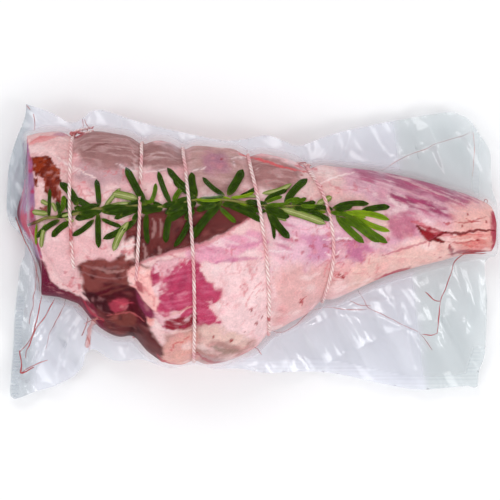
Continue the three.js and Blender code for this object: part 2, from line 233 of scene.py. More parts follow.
def grid_faces(rows, columns, around=False):
    """Faces of a grid of points, joined round each row if asked."""
    r = np.arange(rows - 1)[:, None]
    c = np.arange(columns if around else columns - 1)[None, :]
    after = (c + 1) % columns
    corners = [r * columns + c, (r + 1) * columns + c, (r + 1) * columns + after, r * columns + after]
    return np.stack(np.broadcast_arrays(*corners), -1).reshape(-1, 4)


def tree_of(points, faces):
    return BVHTree.FromPolygons([Vector(p) for p in points], [tuple(f) for f in faces])


# The leg's form

BACK_EDGE = through([
    [-182, 86], [-172, 88], [-160, 90.5], [-140, 91.5], [-113, 91], [-80, 86], [-30, 79.5], [0, 76.5],
    [45, 67], [95, 61], [120, 56], [150, 47.5], [178, 38], [187, 31],
])
FRONT_EDGE = through([
    [-182, -27], [-160, -33], [-143, -36], [-125, -50], [-110, -61], [-90, -68], [-77, -77], [-62, -85],
    [-28, -85.5], [2, -74], [27, -56], [55, -41], [98, -21], [135, -9.5], [166, -1.5], [187, 1],
])
BUTT_END = through([[-1, -171], [-0.3, -178.5], [0.05, -182], [0.45, -169.5], [0.65, -164], [1, -160]])
SHANK_END = 186
TOP_HEIGHT = through([
    [-182, 62], [-155, 73], [-110, 80], [-60, 84], [0, 82], [50, 74], [95, 62], [135, 50], [165, 41],
    [187, 36],
])
# What is higher than this lies on the leg's top, clear of its edge.
HIGHEST_EDGE = 40
EDGE_HEIGHT = through([[-182, 26], [-110, 33], [-60, 35], [0, 34], [50, 31], [95, 27], [135, 23], [187, 19]])
UNDER_HEIGHT = through([[-182, 3], [-150, -3], [-60, -4], [50, -4], [95, -2], [135, 0.5], [187, 5]])
BUTT_LEAN = 11
# Each tie crosses the leg at mid + slant * across + bow * across squared.
TIES = [(-136.6, 2.5, 3.1), (-85, -3.3, -1.7), (-44, 4.2, -4.4), (10, 7.9, -5), (61, 5.7, -13.3)]
TWINE_RADIUS = 1.0
# How far the ties pinch the leg's sides, its top and its underside.
PINCH_SIDE, PINCH_TOP, PINCH_UNDER = 4.4, 2.6, 1.4
MEAT_GAP = 0.8
LOWEST = 0.25
# The section's top and its flatter underside, as (how square, how steep).
TOP_SHAPE, UNDER_SHAPE = (2.4, 0.48), (3, 0.42)
# Broad hollows and swellings, as (x, y, height, long, wide, bearing).
HILLS = [
    (-104, -36, -12, 30, 13, -32), (-112, -12, -4, 20, 8, 5), (-48, 14, -6, 38, 9, 22),
    (-52, -30, 4.5, 24, 18, 15), (-86, -21, 5, 8, 9, -20), (-150, -14, 4, 13, 20, -10),
    (-8, -22, 3, 30, 26, 0), (105, 28, 3, 45, 9, -16), (150, 10, -1.6, 30, 5, -8),
]


def tie_x(tie, across):
    """X of a tie, where across runs from -1 at the back edge to 1 at the front."""
    mid, slant, bow = tie
    return mid + slant * across + bow * across**2


def pinch(x, across, reach=7):
    """How near a tie is, from 1 under it down to 0."""
    return np.max([bell(x - tie_x(tie, across), reach) for tie in TIES], 0)


def back_at(x):
    return BACK_EDGE(x) - PINCH_SIDE * pinch(x, -1)


def front_at(x):
    return FRONT_EDGE(x) + PINCH_SIDE * pinch(x, 1)


def hills(x, y):
    """How far the broad swellings raise the leg's top, or the hollows sink it."""
    total = 0
    for cx, cy, height, long, wide, bearing in HILLS:
        a = math.radians(bearing)
        dx, dy = x - cx, y - cy
        ahead = dx * math.cos(a) + dy * math.sin(a)
        aside = dy * math.cos(a) - dx * math.sin(a)
        total = total + height * bell(ahead, long) * bell(aside, wide)
    return total


def curtain(k, across):
    """X of the line across the leg at the butt, at a tie or at the shank."""
    if k == 0:
        return BUTT_END(across)
    if k == 6:
        return SHANK_END - 3 * across**4
    return tie_x(TIES[k - 1], across)


def leg_base(place, turn, share=1.0):
    """Points of the leg's plain form.

    place runs from 0 at the butt to 6 at the shank. turn runs from 0 at the front edge over the top to 1 at
    the back edge, and on beneath to 2. share shrinks an end's cut face to its middle.
    """
    on_top = turn <= 1
    half = np.where(on_top, turn, turn - 1)
    spread = 0.6 * np.cos(np.pi * half) + 0.4 * (1 - 2 * half)
    side = np.where(on_top, spread, -spread)
    across = side * share
    k = int(min(math.floor(place), 5))
    x = mix(curtain(k, across), curtain(k + 1, across), place - k)
    y = mix(back_at(x), front_at(x), (across + 1) / 2)
    y_side = mix(back_at(x), front_at(x), (side + 1) / 2)
    edge = EDGE_HEIGHT(x)
    reach = np.minimum(np.abs(side), 1)
    pinched = pinch(x, side)
    square, steep = TOP_SHAPE
    rise = TOP_HEIGHT(x) - edge + hills(x, y_side) - PINCH_TOP * pinched
    top = edge + (1 - reach**square) ** steep * rise
    square, steep = UNDER_SHAPE
    under = edge - (1 - reach**square) ** steep * (edge - UNDER_HEIGHT(x) - PINCH_UNDER * pinched)
    z = mix(edge, np.where(on_top, top, under), share)
    floor = np.maximum(LOWEST, (2 * TWINE_RADIUS + MEAT_GAP) * pinch(x, across, 2.6))
    z = np.maximum(z, floor)
    rise = (z - UNDER_HEIGHT(x)) / (TOP_HEIGHT(x) - UNDER_HEIGHT(x))
    x = x + BUTT_LEAN * rise * (1 - across**2) * max(0.0, 1 - place / 0.5)
    return np.stack([x, y, z], -1)


# The leg's colours, as screen colours, and its named patches, in the photograph's pixels

FAT = (238, 196, 195)
FAT_PINK = (224, 166, 170)
BROWN_SKIN = (158, 112, 110)
MAUVE_SKIN = (192, 152, 156)
DARK_MEAT = (128, 62, 58)
# Deep red meat darkened by painted shade, for the hollow.
DEEP_RED_IN_SHADE = (84, 10, 26)
RED_MEAT = (186, 62, 96)
PINK_MEAT = (228, 160, 180)
MAROON = (102, 6, 44)
PALE_MAUVE = (166, 128, 152)
BLOOD = (112, 0, 14)
DYE = (142, 46, 12)

# Patches as (name, colour, softness, raggedness, height, outline): the three sizes are millimetres.
PATCHES = [
    ("upper butt fat", (226, 182, 180), 3, 3, 0, [
        (22, 130), (72, 132), (73, 200), (62, 222), (42, 240), (30, 236)]),
    ("back band of brown skin", BROWN_SKIN, 4, 4, 0, [
        (77, 120), (125, 122), (142, 138), (184, 148), (187, 166), (164, 172), (142, 168), (120, 172),
        (98, 172), (82, 165), (76, 150)]),
    ("mauve below the band", MAUVE_SKIN, 6, 6, 0, [
        (76, 164), (98, 170), (130, 170), (142, 176), (120, 188), (96, 190), (76, 180)]),
    ("pink brown skin", (184, 140, 136), 6, 6, 0, [
        (186, 140), (205, 140), (240, 148), (252, 175), (242, 200), (215, 202), (196, 196), (188, 176)]),
    ("violet spot", (172, 118, 136), 5, 6, 0, [(206, 154), (224, 156), (226, 172), (208, 174)]),
    ("grey brown skin", (164, 114, 112), 4, 5, 0, [
        (246, 154), (262, 158), (302, 168), (306, 184), (286, 191), (262, 191), (251, 182)]),
    ("pale pink shoulder", (228, 190, 186), 5, 4, 0, [
        (306, 170), (340, 168), (360, 178), (330, 200), (300, 196), (292, 186)]),
    ("front butt flap", (230, 182, 184), 1.2, 1.2, 2.4, [
        (40, 234), (60, 226), (78, 226), (81, 245), (80, 268), (81, 290), (72, 292), (60, 276), (50, 258)]),
    ("dark meat below the flap", DARK_MEAT, 1.6, 3, -0.8, [
        (80, 264), (96, 258), (112, 262), (126, 255), (136, 262), (150, 268), (146, 286), (140, 296),
        (118, 300), (96, 300), (84, 290)]),
    ("crescent of dark meat", (106, 44, 42), 1.4, 2, -1.0, [
        (126, 226), (150, 212), (190, 206), (230, 203), (262, 204), (252, 217), (226, 233), (200, 244),
        (166, 253), (137, 263), (126, 250)]),
    # Partly painted shade: the hollow's crimson meat is painted darker, as if in the hollow's own shadow.
    ("hollow of deep red meat", DEEP_RED_IN_SHADE, 2.4, 3, -1.5, [
        (92, 296), (106, 284), (124, 284), (144, 292), (154, 312), (150, 330), (132, 330), (112, 330),
        (96, 318)]),
    ("brown strip of meat", (98, 42, 44), 1.4, 2, 1.2, [
        (92, 300), (104, 300), (126, 318), (150, 330), (170, 352), (160, 366), (138, 344), (112, 336),
        (98, 326)]),
    ("red muscle", RED_MEAT, 1.2, 2.4, 0.9, [
        (152, 268), (160, 262), (180, 257), (200, 262), (206, 280), (221, 287), (221, 298), (209, 304),
        (217, 316), (222, 324), (204, 325), (190, 330), (166, 330), (154, 312), (150, 290)]),
    ("pink muscle by the crescent", PINK_MEAT, 2, 4, 0.3, [
        (184, 248), (206, 243), (228, 236), (262, 230), (270, 248), (244, 262), (206, 264), (188, 260)]),
    ("big cap of fat", (240, 202, 203), 2, 5, 1.2, [
        (206, 264), (236, 258), (268, 246), (300, 240), (312, 276), (290, 314), (258, 338), (222, 330),
        (216, 308), (222, 290)]),
    # Partly painted shade: the rim's pale fat and red marks, painted brown as if shaded along the leg's
    # lower front edge.
    ("front rim", (182, 136, 130), 4, 6, 0, [
        (166, 332), (196, 324), (222, 332), (256, 342), (240, 356), (214, 366), (180, 368), (162, 362)]),
    ("pink fold of fat", (222, 164, 154), 2, 4, 0.5, [
        (162, 344), (178, 334), (196, 331), (197, 362), (178, 368), (160, 362)]),
    ("pale fat of the rim", (226, 188, 178), 3, 5, 0, [
        (198, 327), (222, 330), (248, 336), (242, 345), (218, 341), (199, 347)]),
    ("deep red below the muscle", (140, 34, 50), 1, 2, -0.3, [
        (164, 319), (178, 317), (197, 312), (198, 321), (184, 328), (167, 328)]),
    ("pink muscle in the middle", (228, 180, 194), 8, 10, 0, [
        (272, 212), (334, 212), (352, 232), (338, 262), (304, 272), (274, 262)]),
    ("salmon side", (224, 172, 170), 6, 7, 0, [
        (276, 272), (342, 258), (356, 284), (326, 300), (288, 322), (272, 326)]),
    ("upper shank muscle", (212, 160, 174), 6, 7, 0.3, [
        (338, 160), (400, 160), (440, 176), (480, 194), (474, 216), (436, 226), (400, 222), (366, 204),
        (344, 190)]),
    ("streaky shank muscle", (174, 96, 124), 3, 6, 0.3, [
        (352, 166), (384, 166), (440, 182), (480, 200), (462, 208), (424, 196), (388, 186), (360, 180)]),
    ("deep shank muscle", (156, 66, 100), 2.5, 5, 0.2, [
        (392, 192), (420, 198), (456, 212), (462, 222), (440, 216), (410, 208), (390, 199)]),
    ("pale band of the shank", (228, 186, 182), 5, 5, 0.3, [
        (308, 184), (342, 188), (372, 204), (402, 222), (428, 226), (430, 238), (388, 234), (344, 212),
        (308, 198)]),
    ("rosy side of the shank", (214, 158, 176), 7, 8, 0, [
        (334, 230), (362, 240), (392, 232), (412, 224), (426, 236), (404, 250), (376, 256), (350, 264),
        (334, 262)]),
    ("red side of the shank", (190, 112, 134), 4, 8, 0, [
        (386, 214), (404, 212), (420, 226), (412, 242), (394, 240)]),
    ("front of the shank", (232, 186, 178), 6, 6, 0, [
        (346, 262), (430, 238), (496, 232), (496, 256), (450, 262), (390, 282), (350, 296)]),
    ("bruise by the fourth tie", (206, 140, 168), 3, 6, 0, [
        (300, 240), (318, 232), (332, 244), (326, 258), (306, 260)]),
    ("bruise by the fifth tie", (192, 112, 144), 2.5, 5, 0, [
        (348, 240), (366, 236), (372, 250), (360, 260), (346, 256)]),
    ("end of the shank", (230, 176, 168), 8, 6, 0, [
        (454, 206), (500, 204), (500, 258), (456, 254)]),
    ("red flesh at the shank's end", (222, 154, 146), 5, 8, 0, [
        (452, 236), (474, 230), (500, 230), (500, 252), (458, 252)]),
    ("rim of the shank", (168, 62, 78), 0.8, 2.2, 0, [(492, 211), (501, 211), (501, 254), (491.5, 254)]),
    ("crimson in the hollow", (164, 56, 74), 1, 2.4, 0.6, [
        (107, 306), (115, 301), (125, 299), (131, 303), (128, 311), (118, 314), (109, 313)]),
    ("purple beside the knob", (136, 44, 76), 1, 2, 0.5, [
        (138, 288), (146, 293), (154, 304), (156, 316), (148, 318), (140, 306)]),
    # Painted shadow: the dark red meat in the gap under the flap's tip, darkened as if the flap shaded it.
    ("dark gap under the flap", (62, 10, 20), 1, 2, -0.6, [
        (82, 292), (92, 292), (106, 300), (116, 314), (104, 312), (92, 304)]),
    ("brown meat in the hollow", (118, 56, 50), 1, 2, 0.5, [
        (112, 314), (126, 310), (136, 314), (138, 324), (124, 326), (112, 322)]),
    ("pale crumb", (232, 150, 144), 0.6, 1, 0.4, [(148, 316), (154, 318), (156, 324), (150, 325)]),
    ("fat knob", (248, 188, 182), 1.2, 1.6, 1.8, [
        (128, 270), (138, 264), (151, 270), (154, 286), (160, 300), (158, 310), (148, 304), (140, 292),
        (130, 284)]),
    ("fat by the crescent", (238, 204, 200), 1.4, 4, 0.5, [
        (124, 244), (134, 238), (137, 258), (128, 262)]),
    ("maroon front edge", (112, 22, 46), 1, 2, 0, [
        (58, 288), (80, 296), (94, 304), (106, 326), (106, 340), (84, 328), (66, 306), (52, 298)]),
    ("lower cut face", MAROON, 1, 1.5, 0, [
        (26, 236), (38, 256), (46, 262), (53, 280), (62, 290), (70, 294), (56, 300), (38, 298), (30, 270)]),
]

# Streaks, stains, painted highlights and painted shade over the patches, as (colour, width in millimetres,
# strength, line).
STREAKS = [
    ((214, 84, 88), 1.3, 0.9, [(238, 154), (262, 161), (284, 168), (306, 172)]),
    ((206, 120, 118), 1.6, 0.6, [(30, 142), (44, 137), (62, 136)]),
    ((120, 62, 60), 1.4, 0.6, [(86, 152), (98, 146), (108, 144)]),
    ((196, 152, 148), 1.7, 0.45, [(154, 218), (156, 228), (154, 239)]),
    ((196, 152, 148), 1.5, 0.4, [(161, 219), (163, 228), (161, 238)]),
    ((206, 164, 160), 1.7, 0.5, [(145, 244), (147, 251), (145, 260)]),
    ((196, 152, 148), 1.3, 0.4, [(160, 246), (161, 252), (160, 258)]),
    ((200, 152, 146), 1.8, 0.4, [(97, 268), (112, 272), (126, 270)]),
    ((206, 110, 122), 2.2, 0.6, [(250, 218), (226, 234), (200, 246), (166, 254), (140, 264)]),
    ((156, 44, 64), 3.2, 0.8, [(138, 281), (141, 285), (143, 290)]),
    ((136, 76, 66), 1.6, 0.5, [(96, 292), (112, 288), (134, 282)]),
    ((128, 66, 58), 1.4, 0.5, [(100, 297), (114, 293), (130, 288)]),
    ((222, 168, 158), 1.0, 0.7, [(165, 316), (180, 310), (196, 304)]),
    ((236, 196, 188), 1.2, 0.6, [(172, 332), (184, 330), (196, 326)]),
    ((222, 110, 112), 3.0, 0.5, [(30, 144), (40, 139.5), (54, 138)]),
    ((176, 92, 126), 2.0, 0.6, [(54, 134.5), (64, 133.5), (76, 136)]),
    ((206, 74, 92), 1.1, 0.7, [(114, 300), (124, 304), (134, 303)]),
    ((176, 40, 66), 1.6, 0.8, [(84, 300), (92, 312), (104, 320)]),
    ((166, 40, 62), 3.0, 0.75, [(384, 277), (396, 274), (410, 268)]),
    ((186, 70, 90), 1.6, 0.6, [(376, 280), (388, 276), (400, 270)]),
    (BLOOD, 3.4, 1.0, [(417, 227), (423, 232), (428, 236), (436, 239), (443, 242)]),
    (BLOOD, 3.0, 0.95, [(430, 228), (427, 232), (427, 238), (430, 241)]),
    (BLOOD, 2.4, 0.9, [(424, 232), (432, 235), (446, 233)]),
    ((196, 70, 84), 3.0, 0.6, [(412, 222), (424, 226), (438, 234), (452, 236)]),
    ((150, 20, 40), 1.3, 0.7, [(420, 226), (434, 230), (446, 234)]),
    (BLOOD, 1.7, 0.9, [(432, 238), (446, 233), (462, 234), (476, 230), (494, 231)]),
    ((204, 96, 92), 1.0, 0.6, [(458, 243), (470, 246), (484, 247)]),
    ((244, 206, 196), 1.2, 0.6, [(456, 241), (472, 239.5), (488, 238)]),
    ((178, 40, 50), 1.0, 0.7, [(444, 222), (446, 224), (450, 223)]),
    ((178, 40, 50), 1.0, 0.7, [(466, 219), (474, 222), (480, 221)]),
    ((150, 24, 50), 2.0, 0.85, [(449.6, 245), (451, 249), (453, 255)]),
    ((150, 20, 44), 2.0, 0.85, [(452, 254), (463, 251.5), (478, 251.6), (495, 252)]),
    ((206, 84, 80), 0.9, 0.6, [(451, 238), (460, 236), (472, 234.6), (490, 234.6)]),
    ((212, 104, 98), 3.4, 0.5, [(470, 246), (478, 241), (486, 243)]),
    ((180, 80, 100), 1.1, 0.6, [(382, 256), (402, 249), (422, 243), (436, 236)]),
    ((216, 168, 174), 1.2, 0.7, [(362, 168), (398, 178), (438, 194), (476, 208)]),
    ((216, 168, 174), 1.0, 0.6, [(384, 186), (412, 194), (446, 207), (470, 215)]),
    # Painted highlights: pale lines where the film's creases over the meat, and the small creases spreading
    # from the ties, catch the light.
    ((246, 214, 208), 0.8, 0.8, [(54, 155), (62, 160), (70.5, 166), (84, 172), (98, 180)]),
    ((236, 206, 204), 0.8, 0.8, [(117, 163.5), (128, 169), (139, 173)]),
    ((240, 210, 208), 0.7, 0.8, [(143, 173), (156, 172), (168, 169.5)]),
    ((240, 210, 208), 0.7, 0.8, [(191, 172), (206, 168.4)]),
    ((240, 210, 208), 0.7, 0.8, [(199, 198), (210, 196), (223, 196)]),
    ((240, 212, 208), 0.8, 0.8, [(232, 159), (240, 157.6), (248, 158)]),
    ((236, 200, 200), 0.7, 0.8, [(232, 159), (234, 163), (235, 167)]),
    ((245, 216, 212), 0.7, 0.8, [(118, 248), (130, 246), (141, 243.5)]),
    ((248, 222, 222), 0.8, 0.8, [(262, 248), (272, 251), (287, 251)]),
    ((248, 222, 222), 0.8, 0.8, [(322, 240), (334, 238.6), (352, 239)]),
    ((248, 222, 222), 0.7, 0.8, [(324, 252), (332, 256), (340, 250)]),
    ((250, 226, 224), 0.9, 0.7, [(318, 184), (324, 182), (338, 176), (354, 173)]),
    ((236, 200, 190), 0.8, 0.6, [(372, 258), (402, 256), (440, 258)]),
    ((214, 84, 92), 2.4, 0.8, [(296, 166), (306, 166), (316, 169)]),
    ((196, 60, 84), 1.2, 0.7, [(66, 134), (76, 136), (92, 131)]),
    ((160, 112, 112), 1.1, 0.5, [(82, 272), (98, 277), (116, 279), (132, 276)]),
    ((196, 104, 146), 2.0, 0.55, [(214, 263), (236, 259.5), (262, 258)]),
    ((206, 120, 156), 1.8, 0.5, [(226, 247), (246, 246), (264, 241)]),
    ((184, 56, 74), 2.0, 0.8, [(158, 354), (168, 363), (182, 366), (193, 362)]),
    ((170, 56, 66), 1.8, 0.8, [(197, 352), (208, 360), (222, 363), (238, 358)]),
    ((190, 84, 92), 1.4, 0.6, [(214, 368), (236, 362), (256, 350)]),
    # Painted shade: a grey-green band where the front rim bulges.
    ((128, 112, 96), 2.6, 0.5, [(212, 346), (224, 350), (238, 350)]),
    ((204, 84, 88), 1.0, 0.7, [(170, 352), (176, 342), (184, 340), (190, 334)]),
    ((160, 112, 112), 1.6, 0.45, [(84, 266), (102, 269), (122, 266)]),
    ((120, 62, 60), 1.0, 0.5, [(88, 280), (108, 284), (124, 283)]),
    ((206, 96, 100), 0.8, 0.6, [(108, 315), (122, 313), (132, 313), (146, 323)]),
    ((170, 40, 46), 0.9, 0.6, [(444, 242), (462, 243), (480, 240)]),
    ((172, 50, 56), 1.0, 0.6, [(452, 222), (470, 222), (486, 216)]),
    ((176, 50, 60), 1.0, 0.85, [(298, 297), (301, 300), (301.5, 305)]),
    ((176, 50, 60), 0.8, 0.8, [(306, 295), (302, 299), (300, 301)]),
    ((196, 70, 80), 0.8, 0.7, [(332, 272), (338, 278), (344, 276)]),
]
# Small spots of blood, as (pixel x, pixel y, radius in millimetres).
SPOTS = [
    (251, 309, 1.1), (256, 322, 1.5), (267, 268, 1.3), (268, 304, 1.0), (262, 316, 0.8), (300, 302, 1.0),
    (338, 275, 1.2), (428, 236, 3.6), (423, 233, 2.2), (450, 246, 1.2), (462, 226, 1.0), (478, 240, 1.1),
    (486, 222, 0.9), (468, 214, 0.8), (231, 340, 1.6), (342, 277, 1.2), (196, 318, 0.9), (214, 336, 0.8),
    (244, 330, 0.8), (222, 160, 1.2), (302, 176, 1.0),
]
# The patches of brown dye on the upper butt, as outlines.
DYE_PATCHES = [
    [
        (31, 158), (40, 156), (50, 157), (55, 166), (60, 172), (62, 184), (50, 186), (47, 178), (36, 176),
        (32, 168),
    ],
    [(45, 181), (58, 180), (62, 190), (62, 205), (55, 200), (47, 192)],
    [(34, 178), (39, 178), (38, 188), (34, 186)], [(42, 208), (50, 208), (49, 214), (43, 213)],
]


# What is scattered over the patches with a word in their name, as (pattern, bearing, stretch, size, seed,
# low, high, share, colour): a patch takes the first word that it has.
GRAINS = {
    "red muscle": [
        (cloud, 70, 2, 9, 62, 0.05, 0.4, 0.6, (146, 36, 70)),
        (cloud, 12, 7, 2.0, 63, -0.1, 0.45, 0.5, (212, 110, 140)),
    ],
    "muscle": [
        (cloud, -16, 8, 2.4, 65, 0.0, 0.5, 0.65, (238, 204, 208)),
        (cloud, -16, 6, 3.4, 67, 0.12, 0.5, 0.5, (186, 70, 112)),
    ],
    "meat": [
        (cloud, 8, 6, 1.8, 69, 0.1, 0.55, 0.4, (160, 84, 80)),
        (cloud, 0, 1, 5, 71, 0.1, 0.5, 0.7, (62, 10, 16)),
    ],
    "skin": [
        (ridges, -4, 7, 5, 73, 0.62, 0.95, 0.5, (202, 164, 162)),
        (cloud, -4, 4, 5, 75, 0.2, 0.55, 0.5, (134, 86, 84)),
    ],
    "": [(cloud, 0, 1, 6, 77, 0.15, 0.55, 0.4, (222, 150, 152))],
}
# The rim of the butt's cut face, as (pixel y, pixel x).
FACE_RIM = [(130, 26), (150, 30.5), (165, 35), (190, 37), (215, 38), (240, 40), (256, 45)]


def cover(paint, mask, colour):
    """Paint under a layer of a screen colour, as thick as the mask."""
    return mix(paint, linear(colour), np.clip(mask, 0, 1)[..., None])


def ragged_edge(p):
    """How far the edge of a patch wanders in X and Y."""
    return np.stack([cloud(p, 7, 11), cloud(p, 7, 12)], -1)


def leg_relief(p, top):
    """How far the meat's skin stands off its plain form. top is 1 where a point faces up."""
    xy = p[..., :2]
    height = 0.9 * cloud(p, 26, 3, 3) + 0.35 * cloud(p, 7, 5, 3) + 0.12 * cloud(p, 2.4, 7, 2)
    ragged = ragged_edge(p)
    for name, _, soft, rough, rise, outline in PATCHES:
        if rise:
            depth = inside(xy + ragged * rough, spot(outline))
            height = height + top * rise * step(-1.2, 1.2 + soft * 0.4, depth)
        if name == "red muscle":
            red = inside(xy + ragged * 3, spot(outline))
    # Wrinkles of skin along the back, and fibres in the bare muscle.
    back = top * step(172, 135, pixels(xy)[1]) * step(-140, -120, xy[..., 0])
    height = height + back * 0.35 * (ridges(along(p, -6, 6), 5, 21) - 0.5)
    return height + top * step(-1, 1, red) * 0.3 * cloud(along(p, 70, 9), 1.9, 23, 2)


def paint_patches(paint, p, top, ragged, fine):
    """The named patches, each mottled and with the grain of its kind."""
    mottle = 1 + 0.16 * cloud(p, 5, 51, 3) + 0.08 * cloud(p, 1.6, 53, 2)
    grains = {
        word: [
            (step(low, high, pattern(along(p, bearing, stretch), size, seed)), share, colour)
            for pattern, bearing, stretch, size, seed, low, high, share, colour in rows
        ]
        for word, rows in GRAINS.items()
    }
    # Pale islands in the red muscle, broader towards the butt.
    left = step(30, 6, p[..., 0] + 70)
    marbling = step(0.2 - 0.14 * left, 0.3, cloud(along(p, 30, 2), 6.5, 61, 4))
    for name, colour, soft, rough, _, outline in PATCHES:
        depth = inside(p[..., :2] + ragged * rough + fine * 0.8, spot(outline))
        mask = step(-soft, soft, depth) * (1 if name == "lower cut face" else top)
        paint = mix(paint, linear(colour) * mottle[..., None], mask[..., None])
        for grain, share, tint in next(grains[word] for word in grains if word in name):
            paint = cover(paint, grain * mask * share, tint)
        if name == "red muscle":
            paint = cover(paint, marbling * mask * 0.9, (236, 188, 194))
    return paint


def paint_pale_parts(paint, p):
    """Blushes of pink, pale islands, small clots and fine red veins on whatever is pale."""
    light = step(0.22, 0.42, paint.mean(-1))
    blush = step(0.0, 0.5, cloud(p, 11, 101, 4)) * 0.42 * light
    paint = paint * mix(np.ones(3), np.array([0.96, 0.68, 0.74]), blush[..., None])
    pale = step(0.12, 0.45, cloud(along(p, -14, 1.6), 9, 103, 4)) * 0.45 * light
    paint = cover(paint, pale, (248, 222, 220))
    clots = step(0.44, 0.52, cloud(p, 4.2, 105, 2)) * step(0.0, 0.35, cloud(p, 44, 107, 2)) * light
    paint = cover(paint, clots * 0.6, (176, 52, 70))
    veins = step(0.9, 0.985, ridges(p, 13, 81, 3)) * step(-0.2, 0.4, cloud(p, 34, 83, 2)) * light
    return cover(paint, veins * 0.55, (204, 90, 100))


def paint_marks(paint, p, top, ragged, fine):
    """The streaks, with their painted highlights and painted shade, the spots of blood and the brown dye."""
    xy = p[..., :2]
    for colour, width, strength, line in STREAKS:
        distance, share = off_line(xy + fine * 1.1, curve(spot(line), 12))
        taper = width * (0.35 + 0.65 * np.sin(np.pi * np.clip(share, 0.04, 0.96)))
        paint = cover(paint, step(taper, taper * 0.45, distance) * top * strength, colour)
    for x, y, radius in SPOTS:
        distance = np.linalg.norm(xy + fine * 1.2 - spot((x, y)), axis=-1)
        paint = cover(paint, step(radius * 1.3, radius * 0.6, distance) * top * 0.85, (150, 22, 34))
    dye = np.max([inside(xy + ragged * 2.6 + fine * 2.2, spot(o)) for o in DYE_PATCHES], 0)
    blot = step(-0.7, 0.5, dye) * top * np.clip(1.0 + 0.5 * cloud(p, 2.6, 91, 2), 0, 1)
    paint = cover(paint, blot, DYE)
    return cover(paint, blot * step(-0.2, 0.3, cloud(p, 3.4, 93, 3)) * 0.9, (94, 16, 2))


def paint_cut_face(paint, p, ragged, fine):
    """The cut face of the butt, which leans outward: pale muscle in the middle, maroon at its edges."""
    px, py = pixels(p)
    rim = np.interp(py, *np.array(FACE_RIM, float).T)
    face = step(rim, rim - 1.6, px + fine[..., 0]) * step(262, 256, py)
    pale = step(-0.4, 0.4, cloud(along(p, 80, 3), 5, 95))[..., None]
    tones = mix(linear((150, 100, 142)), linear(PALE_MAUVE), pale)
    tones = cover(tones, step(0.1, 0.5, cloud(p, 9, 97, 3)), (176, 52, 90))
    heart = np.hypot(p[..., 1] - 18 + 5 * ragged[..., 0], (p[..., 2] - 46 + 7 * ragged[..., 1]) * 0.7)
    tones = cover(tones, step(15, 9, heart), (178, 50, 84))
    tones = cover(tones, step(0.2, 0.6, cloud(along(p, 80, 3), 12, 98, 3)) * 0.7, (206, 168, 186))
    tones = cover(tones, step(21.5, 17, px), MAROON)
    tones = cover(tones, step(12, 3, p[..., 2]) + step(0.3, 0.7, cloud(p, 20, 99, 2)), (120, 30, 66))
    return mix(paint, tones, face[..., None])


def leg_paint(p, top):
    """The leg's colours in linear light. top is 1 where a point faces up."""
    ragged = ragged_edge(p)
    fine = np.stack([cloud(p, 2.2, 13, 2), cloud(p, 2.2, 14, 2)], -1)
    paint = np.broadcast_to(linear(FAT), p.shape)
    paint = cover(paint, step(-0.05, 0.4, cloud(p, 19, 41, 4)) * 0.8, FAT_PINK)
    paint = cover(paint, step(0.3, 0.62, cloud(p, 30, 43, 4)) * (0.35 + 0.5 * (1 - top)), RED_MEAT)
    paint = cover(paint, step(0.22, 0.5, cloud(along(p, -8, 3), 16, 45, 3)) * 0.6 * (1 - top), BROWN_SKIN)
    paint = paint_patches(paint, p, top, ragged, fine)
    paint = paint_pale_parts(paint, p)
    paint = paint_marks(paint, p, top, ragged, fine)
    return np.clip(paint_cut_face(paint, p, ragged, fine), 0.002, 1)


ROW_STEP = 1.25
TOP_COUNT, UNDER_COUNT = 190, 84


def leg_rows():
    """Rows of the fine leg: the butt's face, the five ties' bays and the shank's cut end."""
    rows = [(0.0, s) for s in np.linspace(0.02, 0.985, 44)]
    for bay in range(6):
        width = float(curtain(bay + 1, 0.0) - curtain(bay, 0.0))
        count = int(width / ROW_STEP)
        rows += [(bay + t, 1.0) for t in np.linspace(0, 1, count, endpoint=False)]
    rows += [(6.0, s) for s in np.linspace(1, 0.02, 16)]
    return rows


TURNS = np.concatenate([
    np.linspace(0, 1, TOP_COUNT, endpoint=False), np.linspace(1, 2, UNDER_COUNT, endpoint=False),
])


def surface(place, turn, share=1.0):
    """One row of the leg's plain form, and the way out of it at each point."""
    small = 0.004
    before, after = leg_base(place, (turn - small) % 2, share), leg_base(place, (turn + small) % 2, share)
    out = np.stack([0 * turn, before[:, 2] - after[:, 2], after[:, 1] - before[:, 1]], -1)
    return leg_base(place, turn, share), unit(out)


def make_leg():
    rows = leg_rows()
    base, out = (np.stack(a) for a in zip(*(surface(place, TURNS, share) for place, share in rows)))
    cap = np.array([share for _, share in rows])
    at_butt = np.array([place == 0 for place, _ in rows])
    face_out = np.where(at_butt, -1.0, 1.0)
    lean = step(0.93, 0.999, cap)[:, None, None]
    ahead = np.stack([face_out, 0 * face_out, 0 * face_out], -1)[:, None, :]
    out = mix(np.broadcast_to(ahead, out.shape), out, lean)
    facing_up = step(-0.35, 0.1, out[..., 2] + np.where(cap < 0.93, 0.6, 0)[:, None])
    height = leg_relief(base, facing_up)
    points = base + out * height[..., None]
    ground = step(0.2, 3, base[..., 2])
    points[..., 2] = np.where(out[..., 2] < 0, mix(base[..., 2], points[..., 2], ground), points[..., 2])
    points[..., 2] = np.maximum(points[..., 2], LOWEST)
    paint = leg_paint(base, facing_up)
    count = points.shape[0] * points.shape[1]
    flat = np.concatenate([points.reshape(-1, 3), points[0].mean(0)[None], points[-1].mean(0)[None]])
    paint = np.concatenate([paint.reshape(-1, 3), paint[0].mean(0)[None], paint[-1].mean(0)[None]])
    columns = len(TURNS)
    faces = grid_faces(len(rows), columns, around=True).tolist()
    first, last = np.arange(columns), np.arange(columns) + (len(rows) - 1) * columns
    faces += [[count, int(first[i]), int(first[(i + 1) % columns])] for i in range(columns)]
    faces += [[count + 1, int(last[(i + 1) % columns]), int(last[i])] for i in range(columns)]
    return flat, faces, paint


# Materials


